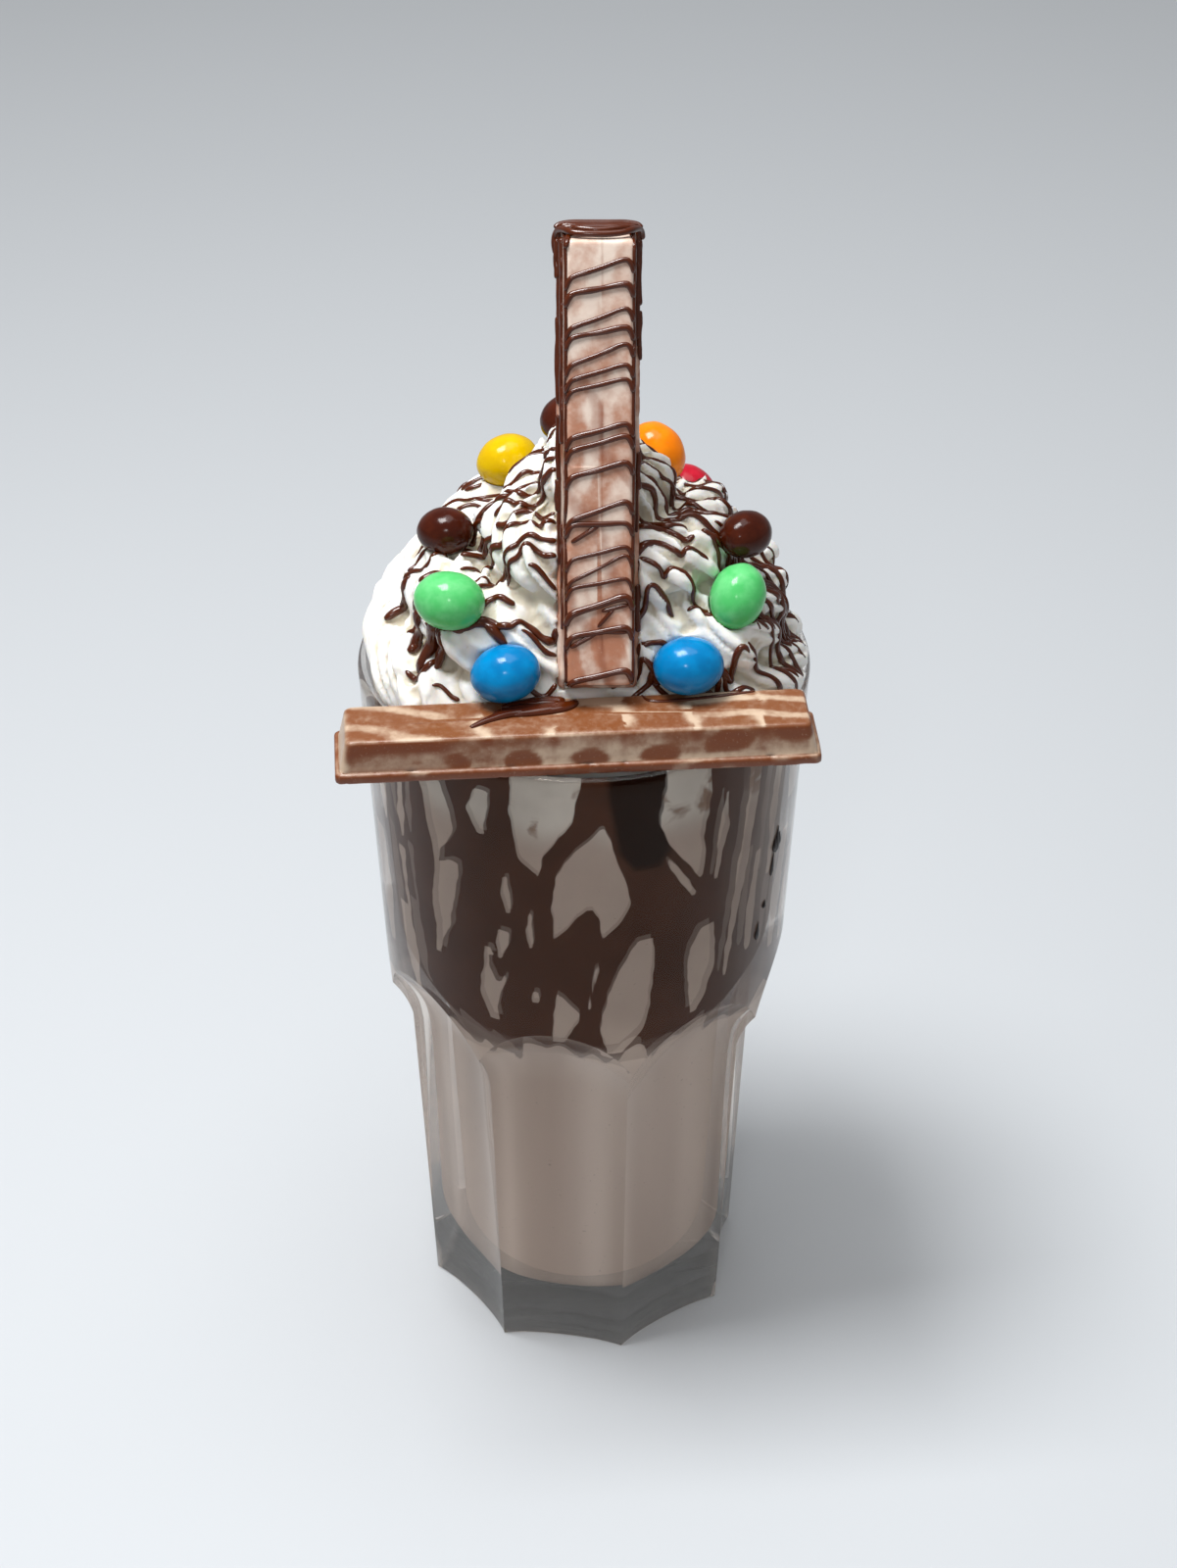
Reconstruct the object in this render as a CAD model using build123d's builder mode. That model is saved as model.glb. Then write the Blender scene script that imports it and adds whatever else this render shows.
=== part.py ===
"""Chocolate milkshake in a fluted tumbler, topped with piped cream, two wafer fingers and candies.

Millimetres, +Z up.  The origin is the centre of the glass's flat base.
-Y is the front, where one wafer finger lies across the rim.
"""
import math
import os

from build123d import *

# ---------------------------------------------------------------- driving dimensions
# glass
glass_height = 158.5
rim_radius = 44.5             # outside of the lip
rim_wall = 2.6
body_radius = 41.0            # outside of the round body, just above the flutes
body_height = 84.0            # height where the body starts to widen towards the rim
base_thickness = 11.0
floor_corner = 7.0            # rounding of the floor inside

# flutes: hollow-ground upright grooves that end in arches
flute_count = 8
flute_turn = -8.7             # azimuth of the middle of one flute
flute_radius_low = 36.0       # radius of the hollow at the table
flute_radius_high = 33.7      # the same where the groove starts to run out
flute_inset = 28.7            # from the glass's axis to the middle of a flute at the table
flute_height = 74.0           # straight part of a flute
cusp_height = 83.0            # where neighbouring arches meet on their ridge
arch_height = 94.0            # top of the arch
arch_bend = 8.0               # rounding where the flute turns out into its arch
flute_wall = 2.5              # glass between the middle of a flute and the drink

# contents
drink_headroom = 12.5         # from the drink up to the rim
drink_level = glass_height - drink_headroom
fit_gap = 0.1                 # drink and cream against the glass
seat_gap = 0.2                # things that lie on, or are pressed into, the cream or the rim

# piped cream: one star-shaped rope, wound upwards and inwards, clockwise from above
mound_height = 58.0           # peak above the rim
rope_turns = 4.9
rope_half_width = 11.6
rope_half_height = 9.8
rope_thinning = 1.15          # lost by the half width in each turn
rope_flattening = 0.7         # lost by the half height in each turn
rope_rise = 1.42              # how much steeper the rope climbs at first
rope_overhang = 0.5           # reach of its first turn past the lip
rope_points = 5               # points of the star nozzle
groove_depth = 0.12           # share of the half width between two points
groove_twist = 4.5            # turns of the star in each turn of the rope
peak_shift = 2.0              # sideways lean of the peak
peak_nib = 1.5
core_slope = 0.6              # the solid core inside the rope, a cone up to the peak
press_depth = 3.0             # how far the standing finger is pressed into the mound
press_blend = 10.0            # sharpness of the edge of the pressed front
cream_columns = 112
cream_rows = 24

# wafer fingers: a body with sloped sides on a thin flange
lying_length = 91.2
standing_length = 88.4
wafer_width = 15.6
wafer_height = 8.4
flange_height = 2.0
flange_ledge = 0.9
flange_corner = 1.2
side_slope = 0.8              # run of each side over the height of the body
end_slope = 1.4
wafer_edge = 0.7
lying_yaw = 4.3               # the lying finger's left end is nearer the front
lying_inset = 10.2            # its middle line from the front of the lip
lying_shift = -3.8
standing_yaw = 2.5
standing_lean = 20.0          # backwards, against the mound
standing_shift = 2.6
foot_gap = 1.2                # between the standing finger's flange and the lying one

# candies, egg shaped
candy_length = 13.2
candy_breadth = 10.9

# name, azimuth, height above the rim, how proud its middle is of the cream,
# azimuth and climb of its long axis, size factor
MOUND_CANDIES = [
    ("candy_green_left", -139.0, 26.0, 2.4, -8.0, -4.0, 1.03),
    ("candy_green_right", -30.5, 23.5, 1.5, 60.0, 50.0, 0.98),
    ("candy_brown_left", -172.0, 30.0, 2.6, -12.0, 8.0, 0.85),
    ("candy_brown_right", -14.0, 31.5, 2.6, 40.0, -8.0, 0.84),
    ("candy_yellow", 130.0, 32.5, 2.4, 20.0, 12.0, 0.95),
    ("candy_orange", 53.0, 35.0, 2.0, 143.0, 45.0, 0.97),
    ("candy_red", 51.0, 21.0, 1.5, 141.0, 40.0, 1.0),
    ("candy_brown_top", 106.0, 45.0, 1.8, 10.0, 10.0, 0.95),
    ("candy_green_back", 79.0, 20.0, 2.2, 169.0, 8.0, 1.0),
    ("candy_blue_back", 111.0, 17.5, 2.4, 201.0, -15.0, 0.98),
]
# name, place along the lying finger from its middle, roll of the long axis, size factor
FRONT_CANDIES = [
    ("candy_blue_left", -13.0, 12.0, 1.02),
    ("candy_blue_right", 21.4, 0.0, 1.03),
]

# ---------------------------------------------------------------- sizes that follow
lip_radius = rim_wall / 2
lip_middle = rim_radius - lip_radius
lip_height = glass_height - lip_radius
bore_rim_radius = rim_radius - rim_wall
bore_body_radius = body_radius - rim_wall
flute_axis = flute_inset + flute_radius_low
bore_low_radius = flute_inset - flute_wall
bore_high_radius = flute_axis - flute_radius_high - flute_wall
bore_waist_height = flute_height - 3.0
bore_chest_height = arch_height + 4.0
cutter_margin = 6.0

os.makedirs("parts", exist_ok=True)


def save(builder, name):
    """Label one finished piece and write it."""
    builder.part.label = name
    export_step(builder.part, f"parts/{name}.step")


# ---------------------------------------------------------------- glass and drink
def bore_radius(height):
    """Radius of the bore between its chest and the lip."""
    share = (height - bore_chest_height) / (glass_height - bore_chest_height)
    return bore_body_radius + (bore_rim_radius - bore_body_radius) * share


def bore(gap, top):
    """Solid that fills the glass up to a height, a gap inside its wall."""
    floor = base_thickness + gap
    foot = (bore_low_radius - gap, floor + floor_corner)
    waist = (bore_high_radius - gap, bore_waist_height)
    chest = (bore_body_radius - gap, bore_chest_height)
    mouth = (bore_radius(top) - gap, top)
    lower_run = (waist[0] - foot[0], waist[1] - foot[1])
    upper_run = (mouth[0] - chest[0], mouth[1] - chest[1])
    with BuildPart() as filling:
        with BuildSketch(Plane.XZ):
            with BuildLine():
                Line((0, floor), (foot[0] - floor_corner, floor))
                JernArc((foot[0] - floor_corner, floor), (1, 0), floor_corner, 90)
                Line(foot, waist)
                Spline(waist, chest, tangents=[lower_run, upper_run])
                Line(chest, mouth)
                Polyline(mouth, (0, top), (0, floor))
            make_face()
        revolve(axis=Axis.Z)
    return filling.part


def flute_cutter():
    """Turned solid that hollows one flute, with the sloped shoulder of its arch."""
    half_pitch = math.pi / flute_count
    cusp_radius = math.hypot(
        flute_axis - body_radius * math.cos(half_pitch), body_radius * math.sin(half_pitch)
    )
    arch_radius = flute_axis - body_radius
    bend = (flute_radius_high, flute_height)
    arch = (arch_radius, arch_height)
    run_out = (cusp_radius - arch_radius) / (arch_height - cusp_height)
    top = arch_height + cutter_margin
    top_radius = arch_radius - run_out * cutter_margin
    with BuildPart() as cutter:
        with BuildSketch(Plane.XZ) as outline:
            with BuildLine():
                Polyline((0, -cutter_margin), (flute_radius_low, -cutter_margin), (flute_radius_low, 0), bend)
                ThreePointArc(bend, (cusp_radius, cusp_height), arch)
                Polyline(arch, (top_radius, top), (0, top), (0, -cutter_margin))
            make_face()
            fillet(outline.vertices().sort_by_distance(bend)[0], arch_bend)
        revolve(axis=Axis.Z)
    return cutter.part


with BuildPart() as glass:
    with BuildSketch(Plane.XZ):
        with BuildLine():
            Polyline(
                (0, lip_height),
                (0, 0),
                (body_radius, 0),
                (body_radius, body_height),
                (rim_radius, lip_height),
            )
            ThreePointArc(
                (rim_radius, lip_height),
                (lip_middle, glass_height),
                (lip_middle - lip_radius, lip_height),
            )
            Line((lip_middle - lip_radius, lip_height), (0, lip_height))
        make_face()
    revolve(axis=Axis.Z)
    add(bore(0, glass_height), mode=Mode.SUBTRACT)
    with PolarLocations(flute_axis, flute_count, start_angle=flute_turn):
        add(flute_cutter(), mode=Mode.SUBTRACT)
save(glass, "glass")

with BuildPart() as milkshake:
    add(bore(fit_gap, drink_level))
save(milkshake, "milkshake")


# ---------------------------------------------------------------- wafer fingers
def direction(azimuth):
    """Level unit vector at an azimuth in degrees."""
    return Vector(1, 0, 0).rotate(Axis.Z, azimuth)


def wafer_body(length, height, grown=0.0):
    """Length and width of a finger's body at a height above its underside."""
    share = (height - flange_height) / (wafer_height - flange_height)
    body_length = length - 2 * (flange_ledge + end_slope * share - grown)
    body_width = wafer_width - 2 * (flange_ledge + side_slope * share - grown)
    return body_length, body_width


def wafer(plane, length, grown=0.0):
    """Wafer finger lying on a plane; grown is the room left round it where it is cut away."""
    with BuildPart() as finger:
        for height in (flange_height, wafer_height + grown):
            with BuildSketch(plane.offset(height)):
                Rectangle(*wafer_body(length, height, grown))
        loft()
        top_edges = finger.edges().filter_by(
            lambda edge: plane.to_local_coords(edge.center()).Z > flange_height + wafer_edge
        )
        fillet(top_edges, wafer_edge)
        with BuildSketch(plane.offset(-grown)):
            RectangleRounded(length + 2 * grown, wafer_width + 2 * grown, flange_corner)
        extrude(amount=flange_height + 2 * grown)
    return finger.part


front = direction(lying_yaw - 90)
lying_reach = rim_radius - lying_inset
lying_plane = Plane(
    origin=front * lying_reach
    + direction(lying_yaw) * lying_shift
    + Vector(0, 0, glass_height + seat_gap),
    x_dir=direction(lying_yaw),
    z_dir=(0, 0, 1),
)
lying_back = lying_reach - wafer_body(lying_length, wafer_height)[1] / 2
lying_top = glass_height + seat_gap + wafer_height

lean = math.radians(standing_lean)
foot_reach = lying_back - foot_gap - flange_height * math.cos(lean)
standing_up = Vector(0, math.sin(lean), math.cos(lean))
standing_out = Vector(0, -math.cos(lean), math.sin(lean)).rotate(
    Axis((0, 0, 0), standing_up), standing_yaw
)
standing_foot = Vector(standing_shift, -foot_reach, lying_top)
standing_plane = Plane(
    origin=standing_foot + standing_up * (standing_length / 2),
    x_dir=standing_up,
    z_dir=standing_out,
)

with BuildPart() as wafer_lying:
    add(wafer(lying_plane, lying_length))
save(wafer_lying, "wafer_lying")

with BuildPart() as wafer_standing:
    add(wafer(standing_plane, standing_length))
save(wafer_standing, "wafer_standing")


# ---------------------------------------------------------------- piped cream
def rope(turn):
    """Path radius, height above the rim, half width and half height of the rope at a turn."""
    half_width = rope_half_width - rope_thinning * turn
    half_height = rope_half_height - rope_flattening * turn
    top_middle = mound_height - (rope_half_height - rope_flattening * rope_turns)
    first_path = rim_radius - rope_half_width + rope_overhang
    path = first_path * (0.5 + 0.5 * math.cos(math.pi * max(turn, 0) / rope_turns))
    climbed = 1 - (1 - turn / rope_turns) ** rope_rise
    return path, (top_middle + 1) * climbed - 1, half_width, half_height


def rope_reach(azimuth, height):
    """Outermost reach of the wound rope at an azimuth and a height above the rim."""
    part_turn = (-azimuth / 360) % 1
    reach = core_slope * (mound_height + peak_nib - height)
    for whole_turn in range(-1, math.ceil(rope_turns)):
        turn = part_turn + whole_turn
        if turn > rope_turns:
            continue
        path, middle, half_width, half_height = rope(turn)
        level = (height - middle) / half_height
        if abs(level) >= 1:
            continue
        star = math.asin(level) - math.tau * groove_twist * turn
        groove = groove_depth * (1 - abs(math.cos(rope_points / 2 * star)))
        reach = max(reach, path + half_width * math.sqrt(1 - level**2) * (1 - groove))
    return reach


def press_reach(azimuth, height):
    """Reach of the flattened front that the standing finger leans on."""
    facing = direction(azimuth).dot(front)
    distance = foot_reach + press_depth - (glass_height + height - lying_top) * math.tan(lean)
    return max(distance, 1) / facing if facing > 0.05 else math.inf


def mound_reach(azimuth, height):
    """Reach of the mound: the wound rope, flattened at its front."""
    wound = rope_reach(azimuth, height)
    pressed = press_reach(azimuth, height)
    return (wound**-press_blend + pressed**-press_blend) ** (-1 / press_blend)


def mound_point(azimuth, height, proud=0.0):
    """Point on the mound, or at a distance out from it."""
    shift = peak_shift * max(height / mound_height, 0) ** 1.5
    reach = mound_reach(azimuth, height) + proud
    return direction(azimuth) * reach + Vector(shift, 0, glass_height + height)


def cream_ring(row):
    """Points round the cream at one row, from the drink's level up to the peak."""
    clear = lip_radius + seat_gap
    plug = [
        (bore_radius(drink_level) - fit_gap, drink_level + fit_gap),
        (lip_middle - clear, lip_height),
        (lip_middle - clear * math.sqrt(0.5), lip_height + clear * math.sqrt(0.5)),
        (lip_middle - 0.2 * clear, lip_height + clear),
    ]
    azimuths = [360 * column / cream_columns for column in range(cream_columns)]
    if row < len(plug):
        reach, height = plug[row]
        return [direction(azimuth) * reach + Vector(0, 0, height) for azimuth in azimuths]
    share = (row - len(plug)) / (cream_rows - 1 - len(plug))
    height = seat_gap + 0.1 + (mound_height - seat_gap - 0.6) * share
    return [mound_point(azimuth, height) for azimuth in azimuths]


def cream_solid():
    """Closed solid through the rings of the cream."""
    rings = [cream_ring(row) for row in range(cream_rows)]
    peak = Vector(peak_shift, 0, glass_height + mound_height + peak_nib)
    faces = [Face(Wire.make_polygon(rings[0]))]
    for column in range(cream_columns):
        beside = (column + 1) % cream_columns
        for lower, upper in zip(rings, rings[1:]):
            corners = (lower[column], lower[beside], upper[beside], upper[column])
            faces.append(Face(Wire.make_polygon((corners[0], corners[1], corners[2]))))
            faces.append(Face(Wire.make_polygon((corners[0], corners[2], corners[3]))))
        faces.append(Face(Wire.make_polygon((rings[-1][column], rings[-1][beside], peak))))
    return Solid(Shell(faces))


# ---------------------------------------------------------------- candies
def candy(plane, size, grown=0.0):
    """Egg-shaped candy with its long axis along the plane's x."""
    half_length = candy_length * size / 2 + grown
    half_breadth = candy_breadth * size / 2 + grown
    with BuildPart() as egg:
        with BuildSketch(plane):
            with BuildLine():
                EllipticalCenterArc((0, 0), half_length, half_breadth, arc_size=180)
                Line((-half_length, 0), (half_length, 0))
            make_face()
        revolve(axis=Axis(plane.origin, plane.x_dir))
    return egg.part


def mound_candy_plane(azimuth, height, proud, facing, climb):
    """Plane of a candy that is pressed into the mound, its long axis facing an azimuth."""
    slope = math.radians(climb)
    along = direction(facing) * math.cos(slope) + Vector(0, 0, math.sin(slope))
    middle = mound_point(azimuth, height, proud)
    return Plane(origin=middle, x_dir=along, z_dir=direction(facing + 90))


def front_candy_plane(along, roll, size):
    """Plane of a candy that lies on the back edge of the lying finger, against the mound."""
    rise = candy_breadth * size / 2 + seat_gap
    across = direction(lying_yaw)
    middle = lying_plane.origin + across * along - front * (lying_reach - lying_back)
    middle = Vector(middle.X, middle.Y, lying_top + rise)
    return Plane(origin=middle, x_dir=across.rotate(Axis((0, 0, 0), front), roll), z_dir=front)


candies = [
    (name, mound_candy_plane(azimuth, height, proud, facing, climb), size)
    for name, azimuth, height, proud, facing, climb, size in MOUND_CANDIES
]
candies += [
    (name, front_candy_plane(along, roll, size), size) for name, along, roll, size in FRONT_CANDIES
]
for name, plane, size in candies:
    with BuildPart() as one_candy:
        add(candy(plane, size))
    save(one_candy, name)

with BuildPart() as whipped_cream:
    add(cream_solid())
    with BuildSketch(lying_plane.offset(-seat_gap)):
        with Locations((0, -rim_radius)):
            Rectangle(4 * rim_radius, 2 * rim_radius)
    extrude(amount=wafer_height + 2 * seat_gap, mode=Mode.SUBTRACT)
    add(wafer(lying_plane, lying_length, seat_gap), mode=Mode.SUBTRACT)
    add(wafer(standing_plane, standing_length, seat_gap), mode=Mode.SUBTRACT)
    for name, plane, size in candies:
        add(candy(plane, size, seat_gap), mode=Mode.SUBTRACT)
save(whipped_cream, "whipped_cream")
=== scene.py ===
"""Looks of the chocolate milkshake: glass, drink, sauce, piped cream, wafer fingers and candies.

Sizes are in millimetres and turned into metres where a mesh is made.  The origin is the centre of
the glass's base, +Z is up and -Y is the front, where one wafer finger lies across the rim.
"""
import math
import random

import bpy
import numpy as np
from mathutils import Matrix, Vector, noise
from mathutils.bvhtree import BVHTree


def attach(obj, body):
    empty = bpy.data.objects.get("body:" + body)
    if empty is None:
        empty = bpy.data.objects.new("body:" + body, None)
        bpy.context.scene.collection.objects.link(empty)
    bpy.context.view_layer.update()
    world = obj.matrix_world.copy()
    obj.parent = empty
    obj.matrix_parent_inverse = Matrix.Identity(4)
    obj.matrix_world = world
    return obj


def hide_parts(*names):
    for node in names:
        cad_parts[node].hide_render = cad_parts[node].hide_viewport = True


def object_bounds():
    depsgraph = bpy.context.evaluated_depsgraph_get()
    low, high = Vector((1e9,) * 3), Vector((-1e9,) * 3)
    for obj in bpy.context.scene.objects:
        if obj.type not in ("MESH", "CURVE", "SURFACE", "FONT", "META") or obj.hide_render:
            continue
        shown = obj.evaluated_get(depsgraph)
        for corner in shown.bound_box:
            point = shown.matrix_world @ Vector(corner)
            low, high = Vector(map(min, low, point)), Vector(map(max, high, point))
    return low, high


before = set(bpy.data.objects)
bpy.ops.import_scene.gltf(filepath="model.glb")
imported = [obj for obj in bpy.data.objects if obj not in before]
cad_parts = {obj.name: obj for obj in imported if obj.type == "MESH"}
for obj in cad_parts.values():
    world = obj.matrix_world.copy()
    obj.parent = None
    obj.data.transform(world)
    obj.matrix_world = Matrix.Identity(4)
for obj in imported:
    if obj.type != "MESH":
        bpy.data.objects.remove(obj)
cad_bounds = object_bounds()

MM = 0.001

# ---------------------------------------------------------------- sizes shared with the solids
glass_height = 158.5
rim_radius = 44.5
rim_wall = 2.6
body_radius = 41.0
body_height = 84.0
base_thickness = 11.0
floor_corner = 7.0
flute_count = 8
flute_turn = -8.7
flute_radius_low = 36.0
flute_radius_high = 33.7
flute_inset = 28.7
flute_height = 74.0
cusp_height = 83.0
arch_height = 94.0
flute_wall = 2.5
drink_level = 146.0
mound_height = 58.0
rope_turns = 4.9
rope_half_width = 11.6
rope_half_height = 9.8
rope_thinning = 1.15
rope_flattening = 0.7
rope_rise = 1.42
rope_overhang = 0.5
rope_points = 5
groove_twist = 4.5
peak_shift = 2.0
core_slope = 0.6
press_depth = 3.0
lying_length = 91.2
standing_length = 88.4
wafer_width = 15.6
wafer_height = 8.4
flange_height = 2.0
flange_ledge = 0.9
flange_corner = 1.2
side_slope = 0.8
end_slope = 1.4
wafer_edge = 0.7
lying_yaw = 4.3
lying_inset = 10.2
lying_shift = -3.8
standing_yaw = 2.5
standing_lean = 20.0
standing_shift = 2.6
foot_gap = 1.2
seat_gap = 0.2

# sizes of the looks alone
flute_easing = 0.9            # how much shallower the polished flutes are at the table
easing_start = 20.0           # height where that begins to die away
easing_end = 66.0             # height where the flutes are as deep as in the solids
foot_round = 0.5
glass_scale = 0.9997          # keeps the round lip inside the faceted one of the solids
cap_thickness = 1.6           # sauce over the top end of the standing finger
cap_line = 1.7                # how far under that end the cap's sauce is measured from
cream_reach = 44.0            # how far out the cream comes over the lip
cream_groove = 0.31           # depth of the rope's grooves as a share of its half width
cream_voxel = 0.655           # grid on which the cream's bodies become one
upper_slimming = 2.4          # how far the rope's upper turns are drawn in
front_lift = 1.6              # how far the folds beside the standing finger stand out
reach_in = 0.12               # how far the drink reaches into the wall, so that no air gap shows
sauce_bottom = 79.0           # where the drink's fine rows, which carry the sauce, begin
film_top = 156.6              # top of the film smeared on the wall above the drink
film_thickness = 0.3

# sizes that follow
lip_radius = rim_wall / 2
lip_middle = rim_radius - lip_radius
lip_height = glass_height - lip_radius
flute_axis = flute_inset + flute_radius_low
bore_rim_radius = rim_radius - rim_wall
bore_body_radius = body_radius - rim_wall
bore_low_radius = flute_inset - flute_wall
bore_high_radius = flute_axis - flute_radius_high - flute_wall
bore_waist_height = flute_height - 3.0
bore_chest_height = arch_height + 4.0
lying_top = glass_height + seat_gap + wafer_height
lean = math.radians(standing_lean)


# ---------------------------------------------------------------- helpers
def direction(azimuth):
    """Level unit vector at an azimuth in degrees."""
    angle = math.radians(azimuth)
    return np.array([math.cos(angle), math.sin(angle), 0.0])


def all_round(columns):
    """Level unit vectors spread evenly over a full turn."""
    return np.array([direction(360 * column / columns) for column in range(columns)])


def azimuths(points):
    """Azimuths of points in degrees, from -180 to 180."""
    return np.degrees(np.arctan2(points[:, 1], points[:, 0]))


def lengths(vectors):
    """Lengths of vectors, never quite 0."""
    return np.maximum(np.linalg.norm(vectors, axis=1), 1e-6)


def smooth_step(value, low, high):
    """0 below low, 1 above high, smooth between them."""
    share = np.clip((value - low) / (high - low), 0, 1)
    return share * share * (3 - 2 * share)


def bell(value, width):
    """1 at 0, falling off over a width."""
    return np.exp(-((value / width) ** 2))


def lumps(point, size, seed=0.0):
    """Smooth noise from -1 to 1 whose lumps are about a size across."""
    return noise.noise(Vector(point) / size + Vector((seed, 2.3 * seed, -1.7 * seed)))


def mesh_piece(name, points, faces, material):
    """Smooth mesh object from points in millimetres."""
    mesh = bpy.data.meshes.new(name)
    mesh.from_pydata((np.asarray(points) * MM).tolist(), [], [list(map(int, face)) for face in faces])
    mesh.validate()
    mesh.polygons.foreach_set("use_smooth", [True] * len(mesh.polygons))
    piece = bpy.data.objects.new(name, mesh)
    bpy.context.scene.collection.objects.link(piece)
    piece.data.materials.append(material)
    return piece


def level_ring(outwards, reach, height):
    """Ring of points at a radius and a height, one along each outward direction."""
    return outwards * reach + (0, 0, height)


def grid_faces(rows, columns):
    """Quads between rows of points, each row's last point joined to its first."""
    faces = []
    for low in range(0, (rows - 1) * columns, columns):
        for column in range(columns):
            beside = (column + 1) % columns
            faces.append((low + column, low + beside, low + columns + beside, low + columns + column))
    return faces


def capped_faces(rows, columns):
    """Closed skin of stacked rings, its first and last ring each filled by one face."""
    faces = grid_faces(rows, columns)
    faces.append(tuple(reversed(range(columns))))
    faces.append(tuple(range((rows - 1) * columns, rows * columns)))
    return faces


def with_modifiers(piece):
    """Replaces a piece's mesh by the result of its modifiers."""
    graph = bpy.context.evaluated_depsgraph_get()
    graph.update()
    made = bpy.data.meshes.new_from_object(piece.evaluated_get(graph))
    piece.modifiers.clear()
    old = piece.data
    piece.data = made
    bpy.data.meshes.remove(old)


def read_vectors(mesh, field):
    """One vector for each vertex of a mesh, such as its place or its normal."""
    flat = np.empty(len(mesh.vertices) * 3)
    mesh.vertices.foreach_get(field, flat)
    return flat.reshape(-1, 3)


def read_points(mesh):
    """Vertices of a mesh in millimetres."""
    return read_vectors(mesh, "co") / MM


def write_points(mesh, points):
    """Moves the vertices of a mesh to points in millimetres."""
    mesh.vertices.foreach_set("co", (points * MM).ravel())
    mesh.update()


def add_attribute(mesh, name, values):
    """Stores one number for each vertex."""
    layer = mesh.attributes.new(name, "FLOAT", "POINT")
    layer.data.foreach_set("value", np.asarray(values, dtype=np.float32))


class Shading:
    """A material's node tree, built a node at a time."""

    def __init__(self, name):
        self.material = bpy.data.materials.new(name)
        self.material.use_nodes = True
        self.tree = self.material.node_tree
        self.shader = self.tree.nodes["Principled BSDF"]

    def node(self, kind, inputs=None, **settings):
        """Adds a node; inputs maps a socket's name or number to a value or to an output."""
        made = self.tree.nodes.new(kind)
        for key, value in settings.items():
            setattr(made, key, value)
        for key, value in (inputs or {}).items():
            self.feed(made.inputs[key], value)
        return made

    def feed(self, socket, value):
        """Links an output to a socket, or sets the socket's value."""
        if isinstance(value, bpy.types.NodeSocket):
            self.tree.links.new(value, socket)
        else:
            socket.default_value = value

    def set(self, **values):
        """Sets the main shader's sockets; an underscore in a name stands for a space."""
        for key, value in values.items():
            self.feed(self.shader.inputs[key.replace("_", " ")], value)

    def coordinates(self, stretch=(1, 1, 1)):
        """Object coordinates in millimetres, scaled."""
        place = self.node("ShaderNodeTexCoord").outputs["Object"]
        scale = [value / MM for value in stretch]
        return self.node("ShaderNodeVectorMath", {0: place, 1: scale}, operation="MULTIPLY").outputs[0]

    def noise(self, place, scale, detail=3.0, distortion=0.0):
        """Noise from 0 to 1; scale is in lumps a millimetre."""
        inputs = {"Vector": place, "Scale": scale, "Detail": detail, "Distortion": distortion}
        return self.node("ShaderNodeTexNoise", inputs).outputs[0]

    def ramp(self, value, low, high, start=0.0, end=1.0):
        """Maps low..high to start..end, clamped."""
        inputs = {"Value": value, "From Min": low, "From Max": high, "To Min": start, "To Max": end}
        return self.node("ShaderNodeMapRange", inputs, interpolation_type="SMOOTHSTEP").outputs[0]

    def mix(self, share, first, second):
        """Mixes two colours."""
        made = self.node("ShaderNodeMix", data_type="RGBA")
        self.feed(made.inputs["Factor"], share)
        for socket, colour in ((made.inputs[6], first), (made.inputs[7], second)):
            self.feed(socket, (*colour, 1.0) if isinstance(colour, tuple) else colour)
        return made.outputs[2]

    def maths(self, operation, first, second=0.0):
        """One arithmetic step."""
        return self.node("ShaderNodeMath", {0: first, 1: second}, operation=operation).outputs[0]

    def bump(self, height, strength, distance):
        """Feeds a bump of a height, in millimetres, to the shader's normal."""
        inputs = {"Height": height, "Strength": strength, "Distance": distance * MM}
        self.feed(self.shader.inputs["Normal"], self.node("ShaderNodeBump", inputs).outputs[0])

    def attribute(self, name):
        """A number stored on the vertices."""
        return self.node("ShaderNodeAttribute", attribute_name=name).outputs["Fac"]


def srgb(code):
    """Linear colour from a hexadecimal one."""
    parts = [int(code[place:place + 2], 16) / 255 for place in (0, 2, 4)]
    return tuple(part / 12.92 if part <= 0.04045 else ((part + 0.055) / 1.055) ** 2.4 for part in parts)


# ---------------------------------------------------------------- materials
def glass_material():
    """Clear pressed glass, tinted a little warm."""
    look = Shading("clear_glass")
    place = look.coordinates()
    look.set(
        Base_Color=(1.0, 0.92, 0.84, 1.0),
        Roughness=0.02,
        IOR=1.43,
        Specular_IOR_Level=0.3,
        Specular_Tint=(0.4, 0.34, 0.29, 1.0),
        Transmission_Weight=1.0,
        Alpha=0.77,
    )
    look.bump(look.noise(place, 0.09, 2.0), 0.25, 0.12)
    return look.material


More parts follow.
